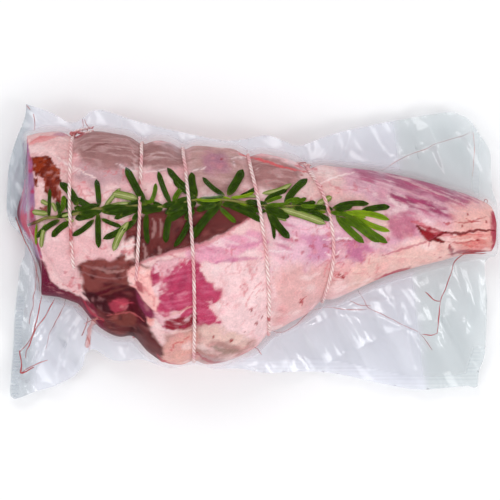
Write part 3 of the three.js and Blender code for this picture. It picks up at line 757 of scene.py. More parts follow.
def new_material(name):
    material = bpy.data.materials.new(name)
    material.use_nodes = True
    material.node_tree.nodes.clear()
    return material, material.node_tree


def add(tree, kind, sockets, operation=None):
    """A shader node, with each socket named set to a constant or fed by another node's output."""
    node = tree.nodes.new("ShaderNode" + kind)
    if operation:
        node.operation = operation
    for key, value in sockets.items():
        if isinstance(value, bpy.types.NodeSocket):
            tree.links.new(value, node.inputs[key])
        else:
            node.inputs[key].default_value = value
    return node


def attribute(tree, name, output="Fac"):
    node = tree.nodes.new("ShaderNodeAttribute")
    node.attribute_name = name
    return node.outputs[output]


def noise(tree, scale, detail, rough):
    place = tree.nodes.new("ShaderNodeTexCoord").outputs["Object"]
    sockets = {"Vector": place, "Scale": scale, "Detail": detail, "Roughness": rough}
    return add(tree, "TexNoise", sockets).outputs["Fac"]


def bumps(tree, scale, strength, distance, detail=4.0, rough=0.6):
    """The way out of a surface that is roughened by fine noise."""
    grain = noise(tree, scale, detail, rough)
    return add(tree, "Bump", {"Strength": strength, "Distance": distance, "Height": grain}).outputs["Normal"]


def painted(name, roughness, subsurface, grain, bump, specular=0.08, vary=0.12):
    """A material whose colour is the mesh's paint, broken up by fine noise, with a fine bump."""
    material, tree = new_material(name)
    spread = add(tree, "MapRange", {
        "Value": noise(tree, grain * 1.7, 4.0, 0.6),
        "From Min": 0.3, "From Max": 0.7, "To Min": 1 - vary, "To Max": 1 + vary,
    })
    colour = {0: attribute(tree, "paint", "Color"), "Scale": spread.outputs["Result"]}
    shader = add(tree, "BsdfPrincipled", {
        "Base Color": add(tree, "VectorMath", colour, "SCALE").outputs["Vector"],
        "Roughness": roughness,
        "Subsurface Weight": subsurface,
        "Subsurface Radius": (1.0, 0.35, 0.25),
        "Subsurface Scale": 0.0022,
        "Specular IOR Level": specular,
        "Normal": bumps(tree, grain, 0.5, bump),
    })
    add(tree, "OutputMaterial", {"Surface": shader.outputs["BSDF"]})
    return material


def film_material():
    """Clear film: mostly see-through, milky and tinted where it lies double, with glossy reflections."""
    material, tree = new_material("clear_film")
    clear = add(tree, "BsdfTransparent", {"Color": (0.985, 0.988, 0.992, 1)}).outputs["BSDF"]
    haze = add(tree, "BsdfDiffuse", {"Color": attribute(tree, "paint", "Color")}).outputs["BSDF"]
    body = add(tree, "MixShader", {0: attribute(tree, "milky"), 1: clear, 2: haze}).outputs["Shader"]
    uneven = bumps(tree, 160, 0.22, 0.0005, detail=3.0, rough=0.55)
    gloss = add(tree, "BsdfAnisotropic", {"Color": (1, 1, 1, 1), "Roughness": 0.11, "Normal": uneven})
    facing = add(tree, "LayerWeight", {"Blend": 0.28, "Normal": uneven}).outputs["Fresnel"]
    base = add(tree, "Math", {0: facing, 1: 0.8, 2: 0.03}, "MULTIPLY_ADD").outputs["Value"]
    share = add(tree, "Math", {0: base, 1: attribute(tree, "shine")}, "MULTIPLY").outputs["Value"]
    whole = add(tree, "MixShader", {0: share, 1: body, 2: gloss.outputs["BSDF"]})
    add(tree, "OutputMaterial", {"Surface": whole.outputs["Shader"]})
    return material


def juice_material():
    """Thin blood, clearer where there is less of it."""
    material, tree = new_material("blood_in_the_folds")
    clear = tree.nodes.new("ShaderNodeBsdfTransparent").outputs["BSDF"]
    wet = add(tree, "BsdfPrincipled", {"Base Color": attribute(tree, "paint", "Color"), "Roughness": 0.25})
    both = add(tree, "MixShader", {0: attribute(tree, "strength"), 1: clear, 2: wet.outputs["BSDF"]})
    add(tree, "OutputMaterial", {"Surface": both.outputs["Shader"]})
    return material


def plain(name, colour, roughness):
    material, tree = new_material(name)
    shader = add(tree, "BsdfPrincipled", {"Base Color": colour, "Roughness": roughness})
    add(tree, "OutputMaterial", {"Surface": shader.outputs["BSDF"]})
    return material


# The meat

leg_points, leg_faces, leg_colours = make_leg()
leg = mesh_piece("leg_meat", leg_points, leg_faces, leg_colours)
leg.data.materials.append(painted("lamb_meat_and_fat", 0.42, 0.05, grain=420, bump=0.0006))
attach(leg, "root")
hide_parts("leg")
leg_tree = tree_of(leg_points, leg_faces)


MAP_REACH = (194, 118)


class HeightMap:
    """The top, or the bottom, of some meshes on a grid of a millimetre, read by interpolation."""

    def __init__(self, trees, down=True):
        xs, ys = (np.arange(-reach, reach + 1.0) for reach in MAP_REACH)
        self.z = np.full((len(xs), len(ys)), -1.0 if down else 999.0)
        way = Vector((0, 0, -1 if down else 1))
        further = max if down else min
        for i, x in enumerate(xs):
            for j, y in enumerate(ys):
                start = Vector((x, y, 200 if down else -50))
                for tree in trees:
                    hit = tree.ray_cast(start, way)[0]
                    if hit is not None:
                        self.z[i, j] = further(self.z[i, j], hit.z)

    def at(self, xy):
        return read_grid(self.z, xy[..., 0] + MAP_REACH[0], xy[..., 1] + MAP_REACH[1])


meat_top = HeightMap([leg_tree])

# The rosemary

STEM = [
    (30, 225), (38, 222.5), (48, 218.5), (62, 217), (78, 214), (94, 209.5), (106, 209), (140, 206),
    (163, 207), (183, 203), (197, 200.5), (222, 200.5), (245, 203), (264, 206), (293, 206.5), (312, 209),
    (331, 212), (352, 215.5),
]
# Needles as (base x, base y, tip x, tip y, width, tone), in pixels: D dark, M middling, B bright, P pale.
NEEDLES_UNDER_TWINE = [
    (51, 218, 52, 189, 3.4, "D"), (50, 214, 34, 212, 5, "P"), (50, 205, 43, 201, 4, "P"),
    (58, 212, 54, 203, 3.5, "P"), (80, 206, 62, 183, 7, "D"), (79, 206, 75, 196, 6, "D"),
    (64, 212, 66, 196, 4.5, "M"), (62, 216, 59, 202, 4, "D"), (70, 211, 68, 199, 4, "D"),
    (62, 220, 38, 238, 5, "D"), (72, 222, 54, 237, 6, "D"), (39, 224, 38, 245.5, 2.4, "B"),
    (47.5, 224, 43, 248, 4, "P"), (96, 220, 74.5, 236, 5, "D"), (100, 213, 100.6, 248, 5.5, "D"),
    (101, 207, 98, 180, 5, "D"), (99, 214, 77, 199, 6, "D"), (98, 212, 76, 208, 6, "D"),
    (98, 214, 77, 219, 6, "D"), (103, 212, 139, 211, 5, "D"), (106, 208, 122, 189, 4, "P"),
    (139, 199.6, 114, 194, 7, "P"), (139, 205, 105, 209, 4, "P"), (138, 210.5, 116, 219, 5, "D"),
    (103, 219, 123, 227, 4, "D"), (138, 220, 105, 239, 6, "D"), (130, 222, 115, 251, 6, "P"),
    (151, 205, 157, 184, 4, "M"), (143, 213, 164, 208.5, 7, "D"), (154, 203, 162, 206, 3, "D"),
    (148, 213, 149, 244, 5, "D"), (172, 205, 159, 172, 5, "D"), (174, 203, 184, 187.5, 5, "M"),
    (195, 195, 168, 168.6, 6, "D"), (196, 197, 174, 181, 4, "D"), (172, 206, 191, 197, 2.6, "B"),
    (195, 202, 166, 214, 7, "D"), (195, 205, 170, 221, 7, "D"), (171, 214, 166.6, 243, 6, "D"),
    (191, 218, 175, 247, 5, "D"), (197, 198, 192, 173, 6.5, "D"), (225, 196, 203, 178, 4.5, "D"),
    (228, 196, 243, 170, 8, "D"), (240, 197, 256, 188.5, 4, "D"), (231, 198, 254, 193, 3, "B"),
    (231, 199.6, 258, 197, 3, "P"), (228, 202.5, 258, 204, 5, "B"), (240, 204, 258, 212, 3, "B"),
    (225, 204, 263, 222, 6, "D"), (222.5, 202, 191.5, 240, 7.5, "D"), (220, 208, 236, 223, 4.5, "M"),
    (222, 202, 199.6, 200, 4, "D"), (217, 205, 197, 211, 6, "D"), (198, 204, 212, 204, 3, "P"),
    (262, 194, 291.5, 184.4, 4.5, "P"), (264, 202, 287, 190, 5, "D"), (284, 205, 307, 179, 7, "D"),
    (291, 205, 306, 198.5, 4, "M"), (292, 206, 315, 202.5, 6, "D"), (265, 211, 289, 217.4, 6.5, "D"),
    (275, 218, 286, 221, 3, "P"), (280, 209, 325, 224, 7, "P"), (308, 210.5, 329, 221, 5, "D"),
    (297, 209, 325, 213, 4, "B"), (269, 213, 289, 238.6, 7, "D"), (267, 213, 274, 239.5, 3.4, "D"),
    (316, 205, 331, 197, 5.5, "P"), (331.5, 208.5, 368, 204, 5.5, "D"), (359, 212.5, 389, 207, 6, "D"),
    (342, 214, 388.5, 220, 5.5, "B"), (352, 216, 389, 231.5, 5, "B"), (350, 216.6, 386.6, 243, 6.5, "M"),
    (344, 216.6, 378, 242.4, 6.5, "M"), (335, 216, 363, 243, 6.5, "M"), (343, 213, 365, 218, 4, "B"),
    (222, 199, 231, 202, 5, "B"),
]
NEEDLES_OVER_TWINE = [
    (147.6, 206, 127, 168, 7, "D"), (64, 217, 71, 214.5, 3, "P"), (67, 218.5, 76, 221.4, 3, "P"),
    (196, 199.6, 222, 200, 2.6, "B"),
]
NEEDLES_ALONG_STEM = [
    (58, 217, 79, 212, 5, "D"), (80, 214, 104, 211, 5.5, "D"), (80, 211, 101, 206, 4.5, "D"),
    (103, 208, 140, 208, 6.5, "D"), (104, 211, 128, 213, 5, "D"), (128, 206, 152, 203, 5, "D"),
    (140, 208, 165, 206.5, 6, "D"), (163, 207, 186, 205, 6, "D"), (176, 203, 198, 199, 5, "D"),
    (197, 202, 222, 204, 5, "D"), (200, 199, 224, 197, 3.6, "M"), (245, 202, 268, 206, 5.5, "D"),
    (246, 206, 266, 212, 4.5, "D"), (266, 206, 290, 205, 4.5, "M"), (292, 208, 316, 212, 5, "D"),
    (312, 208, 332, 210, 5, "D"), (330, 213, 352, 218, 5, "M"), (345, 212, 362, 214, 3.6, "B"),
]
NEEDLES_ON_STEM = [
    (78, 210, 98, 206, 5, "D"), (82, 214.5, 102, 211.5, 4.5, "D"), (104, 210.5, 124, 206.5, 5, "D"),
    (108, 213, 132, 210, 4.5, "D"), (122, 216, 142, 209, 5.5, "D"), (134, 221, 143, 211, 4.5, "D"),
    (143, 206, 156, 201, 3.4, "M"), (168, 214, 190, 204, 6, "D"), (170, 210, 186, 200, 4.5, "D"),
    (182, 209, 197, 203, 5, "D"), (186, 220, 194, 209, 6, "D"), (201, 206, 218, 200, 5, "D"),
    (222, 205, 242, 208, 5.5, "D"), (232, 206, 256, 214, 5.5, "D"), (264, 208, 284, 213, 5, "D"),
    (266, 203, 282, 197, 3.6, "M"), (284, 203.5, 300, 199, 4, "M"),
    (300, 206, 318, 206.5, 4, "M"), (333, 209, 352, 206, 5, "D"), (338, 218, 356, 226, 4.5, "M"),
]
TONES = {
    "D": ((26, 42, 0), (52, 77, 0)),
    "M": ((52, 76, 0), (84, 112, 10)),
    "B": ((92, 120, 0), (128, 152, 26)),
    "P": ((160, 160, 104), (126, 134, 66)),
}
NEEDLE_ROWS = 14
# Half of a needle's width as a share of its width in the table, and how far each lies off what it lies on.
NEEDLE_HALF = 0.53
NEEDLE_SEAT = 0.55
# A needle's section: its places across from edge to edge over the top, and then back beneath.
ACROSS_TOP = [-1, -0.86, -0.5, -0.16, 0, 0.16, 0.5, 0.86, 1]
ACROSS_UNDER = [0.8, 0.3, -0.3, -0.8]
STEM_RADIUS = 1.15
STEM_STEPS = 150
STEM_SIDES = 12


def needle(n, base_x, base_y, tip_x, tip_y, width, tone, level, ground):
    """One leaf: a blade with rolled edges and a sunken midrib, or its pale underside with a raised one."""
    base, tip = spot((base_x, base_y)), spot((tip_x, tip_y))
    reach = np.linalg.norm(tip - base)
    ahead = (tip - base) / reach
    side = np.array([-ahead[1], ahead[0]])
    chance = np.random.default_rng(1000 + n)
    bow = reach * chance.uniform(-0.07, 0.07)
    s = np.linspace(0, 1, NEEDLE_ROWS)[:, None]
    tip_round = 1 - 0.9 * np.clip((s - 0.8) / 0.2, 0, 1) ** 2.2
    half = NEEDLE_HALF * width * MM_PER_PIXEL * np.minimum(1, 0.42 + 2.6 * s) * tip_round
    half[0] *= 0.3
    u = np.array(ACROSS_TOP + ACROSS_UNDER)[None, :]
    upper = np.arange(u.size)[None, :] < len(ACROSS_TOP)
    arch = 0.34 * half * (1 - u**2)
    rib = np.exp(-((u / 0.13) ** 2)) * 0.16 * np.minimum(half, 1.6)
    if tone == "P":
        lift = np.where(upper, 0.12 * half * np.abs(u) ** 3 + rib * 1.3, -0.35 * half * (1 - u**2) - 0.1)
    else:
        lift = np.where(upper, arch - rib, -0.25 - 0.1 * half)
    middle = base + ahead * reach * s + side * bow * np.sin(np.pi * s)
    xy = middle[:, None, :] + side * (half * u)[..., None]
    seat = np.max([ground.at(middle + side * half * share) for share in (0, 0.7, -0.7)], 0)
    seat = seat + NEEDLE_SEAT + level * (1 - 0.55 * s[:, 0])
    points = np.concatenate([xy, (seat[:, None] + lift)[..., None]], -1)
    return points, needle_paint(n, points, u, upper, tone, s)


def needle_paint(n, points, u, upper, tone, s):
    """A leaf's colours: its blade, its rim and its midrib."""
    dark, light = (linear(colour) for colour in TONES[tone])
    grade = 0.5 + 0.5 * smooth_noise(points, 2.4, 300 + n % 7)
    paint = mix(dark, light, grade[..., None])
    rim = ((np.abs(u) > 0.84) & upper)[..., None]
    vein = ((np.abs(u) < 0.15) & upper)[..., None]
    if tone == "P":
        paint = np.where(rim, linear((96, 122, 34)), paint)
        paint = np.where(vein, linear((196, 204, 140)), paint)
    else:
        paint = np.where(rim, paint * 1.45, paint)
        paint = np.where(vein, paint * 0.72, paint)
        paint = np.where(~upper[..., None], linear((150, 162, 96)), paint)
    # The blade yellows a little where it leaves the stem.
    return mix(paint, linear((132, 140, 52)), (0.5 * step(0.12, 0, s))[..., None])


def tube(points, radius, sides, twist=0.0, groove=0.0, sideways=(1, 0, 0)):
    """A round or stranded cord along points, closed if it ends where it starts.

    Returns its points, its faces and how high each point is on its strand.
    """
    closed = np.linalg.norm(points[0] - points[-1]) < 1e-6
    path = points[:-1] if closed else points
    before = np.roll(path, 1, 0) if closed else np.concatenate([path[:1], path[:-1]])
    after = np.roll(path, -1, 0) if closed else np.concatenate([path[1:], path[-1:]])
    ahead = unit(after - before)
    out = unit(np.cross(ahead, np.array(sideways, float)))
    over = np.cross(out, ahead)
    run = np.concatenate([[0], np.cumsum(np.linalg.norm(np.diff(path, axis=0), axis=1))])
    turn = np.linspace(0, 2 * np.pi, sides, endpoint=False)
    lobe = np.abs(np.cos(1.5 * (turn[None, :] - twist * run[:, None])))
    size = np.broadcast_to(radius * (1 - groove + groove * lobe), (len(path), sides))
    ring = np.cos(turn)[None, :, None] * out[:, None] + np.sin(turn)[None, :, None] * over[:, None]
    body = path[:, None] + size[..., None] * ring
    faces = grid_faces(len(path) + 1 if closed else len(path), sides, around=True) % (len(path) * sides)
    return body.reshape(-1, 3), faces, lobe.reshape(-1)


def end_caps(rows, columns):
    """The two end faces of a closed grid, whose other faces are turned inside out."""
    last = rows * columns - 1
    return [list(range(columns)), [last - i for i in range(columns)]]


def joined(parts):
    """Several (points, faces, paint) as one."""
    points, faces, paints, start = [], [], [], 0
    for p, f, c in parts:
        points.append(p)
        paints.append(c)
        faces += [[int(i) + start for i in face] for face in f]
        start += len(p)
    return np.concatenate(points), faces, np.concatenate(paints)


def make_needles(rows, first, ground, levels):
    """Needles on the levels given in turn over the ground."""
    parts = []
    for n, row in enumerate(rows):
        points, paint = needle(first + n, *row, levels[n % len(levels)], ground)
        columns = points.shape[1]
        faces = grid_faces(NEEDLE_ROWS, columns, around=True)[:, ::-1].tolist()
        faces += end_caps(NEEDLE_ROWS, columns)
        parts.append((points.reshape(-1, 3), faces, paint.reshape(-1, 3)))
    return parts


def make_stem():
    line = curve(spot(STEM), STEM_STEPS)
    z = meat_top.at(line) + 0.5 + STEM_RADIUS
    share = np.linspace(0, 1, STEM_STEPS)
    thick = STEM_RADIUS * np.interp(share, [0, 0.02, 0.6, 0.97, 1], [0.7, 1.1, 0.95, 0.6, 0.1])
    points, faces, _ = tube(np.c_[line, z], thick[:, None], STEM_SIDES, sideways=(0, 0, 1))
    grain = smooth_noise(points * np.array([0.4, 1, 1]), 1.2, 401)[:, None]
    paint = mix(linear((104, 92, 52)), linear((142, 140, 74)), 0.5 + 0.5 * grain)
    brown = step(46, 34, pixels(points)[0])[:, None]
    paint = mix(paint, linear((96, 62, 36)), brown)
    return points, faces[:, ::-1].tolist() + end_caps(STEM_STEPS, STEM_SIDES), paint


sprig_parts = [make_stem()] + make_needles(NEEDLES_UNDER_TWINE, 0, meat_top, (0.3, 1.0, 1.8, 0.6, 1.4))
sprig_parts += make_needles(NEEDLES_ALONG_STEM, 120, meat_top, (2.5, 2.1))
sprig_parts += make_needles(NEEDLES_ON_STEM, 160, meat_top, (3.4, 2.9, 3.8))
sprig_top = HeightMap([leg_tree, tree_of(*joined(sprig_parts)[:2])])
sprig_parts += make_needles(NEEDLES_OVER_TWINE, 200, sprig_top, (1.9, 0.6))
sprig_points, sprig_faces, sprig_paint = joined(sprig_parts)
rosemary = mesh_piece("rosemary_sprig", sprig_points, sprig_faces, sprig_paint)
leaf_material = painted("rosemary", 0.45, 0.02, grain=900, bump=0.00012, specular=0.05, vary=0.18)
rosemary.data.materials.append(leaf_material)
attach(rosemary, "root")
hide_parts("rosemary")

# The twine

# Where a tie passes under a fold of meat, as {tie: (first y, last y)} in pixels, and how deep it sinks.
HIDDEN = {0: (268, 312), 1: (279, 344)}
SINK = 3.2
LOOP_STEPS = 900
# How often a tie's line is stretched over what it crosses, and how often its rise is then evened out.
STRETCHES, EASINGS = 26, 10
# The thickness of a loop, and of a loose end or a knot, as a share of the plain twine's.
LOOP_SIZE, END_SIZE = 1.4, 1.05


def tie_line(n):
    """A tie's middle line: round the leg's form, over the sprig and under any fold that hides it."""
    turn = np.linspace(0, 2, LOOP_STEPS, endpoint=False)
    base, out = surface(float(n + 1), turn)
    height = leg_relief(base, step(-0.35, 0.1, out[:, 2]))
    clear = np.where(out[:, 2] < -0.2, MEAT_GAP, 0.15)
    line = base + out * (height * step(0.5, 4, base[:, 2]) + TWINE_RADIUS * 0.7 + clear)[:, None]
    under = turn > 1
    sprig_z = sprig_top.at(line[:, :2])
    over = np.where(under, 0, np.maximum(sprig_z + TWINE_RADIUS * 0.75, 0))
    bridged = np.maximum(line[:, 2], np.where(sprig_z > meat_top.at(line[:, :2]) + 0.3, over, 0))
    for _ in range(STRETCHES):
        halfway = (np.roll(bridged, 1) + np.roll(bridged, -1)) / 2
        bridged = np.maximum(bridged, np.where(under, bridged, halfway))
    rise = bridged - line[:, 2]
    for _ in range(EASINGS):
        rise = (np.roll(rise, 1) + rise + np.roll(rise, -1)) / 3
    line[:, 2] += np.where(under, 0, rise)
    if n in HIDDEN:
        first, last = HIDDEN[n]
        py = pixels(line)[1]
        sink = step(first - 3, first + 4, py) * step(last + 3, last - 4, py) * np.where(under, 0, 1)
        line -= out * (sink * SINK)[:, None]
    line[:, 2] = np.maximum(line[:, 2], TWINE_RADIUS + 0.2)
    line[:, 0] += 0.35 * smooth_noise(line, 16, 500 + n)
    return np.concatenate([line, line[:1]])


# The loose ends beside the knots, along the leg's back edge, as {tie: lines of (pixel x, pixel y, z)}.
ENDS = {
    0: [
        [(73, 135, 38), (76, 132.4, 40), (82, 133, 39), (88, 132.6, 37), (93, 130.6, 35)],
        [(73, 135, 36), (77, 130.6, 34), (84, 129, 31), (88, 127.6, 29), (92, 127, 28)],
    ],
    4: [
        [(307, 167, 36), (311, 170.4, 44), (314, 177, 51), (317, 183, 56), (321, 187, 60)],
        [(307, 167, 34), (302, 163.4, 31), (297, 162.6, 29)],
    ],
}
# A knot's line reaches about three times this far from its middle in X and in Y, and 1.3 times in Z.
KNOT_SIZE = np.array([0.651, 0.525, 0.7875])
TWINE_SIDES = 12
END_STEPS = 50
# The twine has three strands: how fast they turn, in radians a millimetre, and how deep its grooves are.
TWIST, GROOVE = 0.5, 0.3


def knot_of(centre):
    """A small overhand knot about a point, as a closed line."""
    t = np.linspace(0, 2 * np.pi, 91)
    ring = np.stack([np.sin(t) + 2 * np.sin(2 * t), np.cos(t) - 2 * np.cos(2 * t), -1.3 * np.sin(3 * t)], 1)
    ring[-1] = ring[0]
    return np.asarray(centre) + ring * KNOT_SIZE


def cord(line, size):
    return tube(line, TWINE_RADIUS * size, TWINE_SIDES, TWIST, GROOVE)


def make_twine(n):
    """A tie's loop, with its knot and loose ends, and how high each point is on its strand."""
    parts = [cord(tie_line(n), LOOP_SIZE)]
    for line in ENDS.get(n, []):
        p = np.array(line, float)
        path = curve(np.c_[spot(p[:, :2]), p[:, 2]], END_STEPS)
        clear = sprig_top.at(path[:, :2]) + TWINE_RADIUS * 1.1
        path[:, 2] = np.maximum(path[:, 2], np.minimum(clear, path[:, 2] + 12))
        points, faces, lobe = cord(path, END_SIZE)
        caps = [face[::-1] for face in end_caps(END_STEPS, TWINE_SIDES)]
        parts.append((points, faces.tolist() + caps, lobe))
    if n in ENDS:
        x, y, z = ENDS[n][0][0]
        parts.append(cord(knot_of([*spot((x, y - 1)), z + 1]), END_SIZE))
    return joined(parts)


def twine_paint(n, points, lobe):
    """Pale twine, pink in places, red with blood and painted shade in its grooves, and with some stretches
    soaked in blood.
    """
    stain = step(-0.2, 0.4, cloud(points, 9, 520 + n, 3))[:, None]
    paint = mix(linear((250, 232, 226)), linear((238, 188, 188)), stain)
    # The grooves between the strands: blood soaked in, and painted shade.
    paint = mix(linear((182, 84, 98)), paint, (0.2 + 0.8 * lobe)[:, None])
    blood = step(0.34, 0.6, cloud(points, 13, 540 + n, 3))[:, None] * 0.8
    return mix(paint, linear((176, 62, 70)), blood)


twine_material = painted("twine", 0.85, 0.05, grain=1500, bump=0.0001, specular=0.15, vary=0.14)
twine_solids = []
for n in range(len(TIES)):
    points, faces, lobe = make_twine(n)
    twine_solids.append(tree_of(points, faces))
    twine = mesh_piece(f"twine_{n + 1}", points, faces, twine_paint(n, points, lobe))
    twine.data.materials.append(twine_material)
    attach(twine, "root")
    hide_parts(f"tie_{n + 1}")

# The bag

BAG_BACK = [
    [-173, 113], [-154, 106.5], [-139, 98.5], [-130.5, 101], [-123, 107], [-112, 107.5], [-84, 98.5],
    [-43, 88.7], [-18, 84.6], [-2, 86.6], [12, 88.8], [26, 84], [37, 81], [64, 90.4], [105, 99.4],
    [150, 107],
]
BAG_SHANK = [
    [159, 105], [167, 101], [174, 91], [182.5, 77], [183.5, 60], [184.5, 47], [188, 36], [188.5, 16],
    [188, -2], [180, -6], [178.5, -16], [180.5, -37], [179, -76], [174.5, -92], [173, -104],
]
BAG_FRONT = [
    [166, -103], [140, -105.5], [122, -105.6], [93, -99.8], [63, -93.5], [37, -92], [12, -93], [-9, -89.5],
    [-28, -89.5], [-44, -86], [-60, -89], [-72, -86.5], [-84, -82.5], [-100, -84], [-110, -82], [-120, -75],
    [-127, -78], [-131, -91], [-148, -102], [-166, -107.5], [-184, -113],
]
BAG_BUTT = [
    [-184.7, -98], [-181.7, -52], [-177.5, -14], [-173.5, -2], [-174.5, 10], [-184.5, 21], [-187.8, 36],
    [-184.5, 72], [-174, 101.5],
]


def bag_outline():
    sides = [BAG_BACK, BAG_SHANK, BAG_FRONT, BAG_BUTT]
    return np.concatenate([curve(side + [sides[(k + 1) % 4][0]], 90)[:-1] for k, side in enumerate(sides)])


# Creases of the film, over the meat and then in the margin, as (height, width, line in pixels).
CREASES = [
    (0.7, 1.3, [(54, 155), (70, 166), (98, 180)]), (0.6, 1.2, [(117, 163.5), (139, 173)]),
    (0.6, 1.2, [(143, 173), (168, 169.5)]), (0.5, 1.2, [(191, 172), (206, 168.4)]),
    (0.6, 1.2, [(199, 198), (223, 196)]), (0.7, 1.2, [(232, 159), (248, 158)]),
    (0.5, 1.1, [(232, 159), (235, 167)]), (0.6, 1.2, [(118, 248), (141, 243.5)]),
    (0.5, 1.2, [(268, 251), (287, 251)]), (0.5, 1.2, [(327, 239), (352, 239)]),
    (2.2, 2.2, [(24, 104), (44, 122), (60, 132)]), (1.6, 2, [(69, 123), (76, 133)]),
    (1.2, 1.8, [(87, 113), (84, 132)]), (1.6, 2.2, [(119, 117), (122, 132)]),
    (1.2, 2.4, [(170, 131), (176, 146)]), (1.4, 2, [(280, 138), (292, 164)]),
    (1.8, 2.4, [(300, 146), (306, 163)]), (1.4, 2, [(336, 134), (320, 166)]),
    (1.3, 2, [(352, 130), (340, 170)]), (1.6, 2.6, [(382, 171), (405, 155.5), (475, 130.6)]),
    (1.2, 2.2, [(440, 114), (470, 140), (486, 172)]), (1.5, 2.4, [(429, 116), (440, 150), (452, 188)]),
    (1.2, 2.2, [(409, 118), (416, 150), (420, 178)]), (2.0, 2.6, [(454, 260), (442, 300), (440, 336)]),
    (1.8, 2.4, [(400, 300), (408, 330), (416, 366)]), (2.2, 2.6, [(424, 282), (446, 330), (470, 372)]),
    (1.6, 2.2, [(368, 296), (384, 330), (404, 352)]), (1.8, 2.4, [(460, 262), (470, 300), (466, 340)]),
    (1.6, 2.2, [(330, 302), (352, 340), (372, 372)]), (1.4, 2, [(300, 320), (314, 346), (330, 368)]),
    (1.5, 2, [(272, 332), (286, 356), (290, 370)]), (1.2, 1.8, [(216, 362), (238, 366), (262, 372)]),
    (2.0, 2.2, [(80, 320), (66, 346), (56, 378)]), (1.8, 2, [(74, 306), (48, 340), (22, 384)]),
    (1.6, 2, [(56, 300), (34, 336), (16, 360)]), (1.8, 2.2, [(40, 296), (30, 330), (24, 376)]),
    (1.4, 2, [(34, 262), (24, 300), (18, 340)]), (1.2, 1.8, [(88, 330), (84, 350), (72, 372)]),
    (1.4, 2, [(14, 217), (9, 200), (8, 180)]), (1.3, 1.8, [(20, 150), (14, 170), (8, 190)]),
    (1.6, 2.2, [(478, 256), (482, 300), (484, 350)]), (1.2, 2.4, [(320, 304), (380, 318), (440, 344)]),
    (1.0, 2, [(310, 311), (350, 304), (392, 300)]),
]
# The creases from this width on have broad facets beside them.
BROAD_CREASE = 2.4
# The welds in the margin, as (strength, outer width, inner width, line in pixels).
WELDS = [(1, 3.4, 2.6, [(19, 300), (16, 340), (13, 395)]), (0.6, 3.2, 2.6, [(477, 128), (478, 196)])]
FILM_FROM, FILM_TO = (-191, -116), (192, 116)
SPACING = 1.2
# Grid points nearer than this share of the spacing to the bag's outline are drawn onto it.
EDGE_SNAP = 0.62
MARGIN_OUTER = 9.0
FILM_LIFT = 0.35
# The film hangs free this far from the meat, and is pinned to the margin's own form from there on.
PIN_DISTANCE = 5
TIGHTENINGS = 34
TUCK_HEIGHT = 1.8
# The tint of the doubled film along the middle, at the shank's end and at the butt's end.
BLUE_HAZE = (0.88, 0.90, 1.0)
GREEN_HAZE = (0.74, 0.81, 0.83)
GREY_HAZE = (0.48, 0.54, 0.60)


def film_grid():
    """A square grid with the points beside the bag's outline drawn onto it, so that the edge is smooth, how
    deep in the bag each point is, and whether it is on the bag."""
    outline = bag_outline()
    sides = [np.arange(low, high + SPACING, SPACING) for low, high in zip(FILM_FROM, FILM_TO)]
    xy = np.stack(np.meshgrid(*sides, indexing="ij"), -1)
    depth = inside(xy, outline)
    slope = unit(np.stack(np.gradient(depth, SPACING), -1))
    near = np.abs(depth) < EDGE_SNAP * SPACING
    for _ in range(3):
        xy = np.where(near[..., None], xy - slope * depth[..., None], xy)
        depth = np.where(near, inside(xy, outline), depth)
    return xy, depth, (depth > -0.25) | near


def leg_border():
    """The leg's outline seen from above."""
    x = np.linspace(-181, SHANK_END, 180)
    border = np.concatenate([np.stack([x, back_at(x)], 1), np.stack([x, front_at(x)], 1)[::-1]])
    back, front = back_at(border[:, 0]), front_at(border[:, 0])
    across = np.clip(2 * (border[:, 1] - back) / (front - back) - 1, -1, 1)
    border[:, 0] = np.maximum(border[:, 0], BUTT_END(across))
    return border


def crease_heights(xy):
    """How far the creases stand off the film."""
    crease = 0
    for height, width, line in CREASES:
        distance, share = off_line(xy, curve(spot(line), 14))
        taper = np.sin(np.pi * np.clip(share, 0.05, 0.95)) ** 0.5
        crease = crease + height * np.maximum(0, 1 - distance / (1.7 * width)) ** 1.2 * taper
        if width >= BROAD_CREASE:
            crease = crease + 0.9 * height * np.maximum(0, 1 - distance / (5.5 * width)) * taper
    return crease


def margin_heights(flat, depth, beyond, crease):
    """The lower and the upper film in the margin, which meet along the bag's edge."""
    x, y = flat[..., 0], flat[..., 1]
    wave = 2.2 * np.sin(2 * np.pi * (x + 0.6 * y) / 31) * np.clip(beyond / 15, 0, 1)
    margin = mix(EDGE_HEIGHT(x) - 4, MARGIN_OUTER, np.clip(beyond / 42, 0, 1)) + wave + 0.4
    free = step(2, 9, beyond)
    calm = mix(0.35, 1.0, step(70, 20, y))
    margin = margin + free * calm * (0.9 * cloud(flat, 27, 601, 2) + 2.4 * (ridges(flat, 40, 605, 1) - 0.5))
    puff = free * (0.45 + 0.5 * np.clip(cloud(flat, 17, 611, 3), 0, 1) * np.clip(depth / 8, 0, 1))
    low = np.maximum(margin + free * crease * 0.8 - puff / 2, 0.7)
    high = np.maximum(margin + free * crease + puff / 2, low + 0.2)
    middle = (high + low) / 2
    edge = step(3.5, 0, depth)
    return mix(low, middle - 0.06, edge), mix(high, middle + 0.06, edge)


def things_on_meat(xy):
    """The top of the sprig and the twine, drawn a millimetre wider than they are above the leg's edge."""
    wide = HeightMap([tree_of(sprig_points, sprig_faces)] + twine_solids)
    grown = wide.z.copy()
    for dx in (-1, 0, 1):
        for dy in (-1, 0, 1):
            grown = np.maximum(grown, np.roll(np.roll(wide.z, dx, 0), dy, 1))
    wide.z = np.where(grown > HIGHEST_EDGE, grown, wide.z)
    return wide.at(xy)


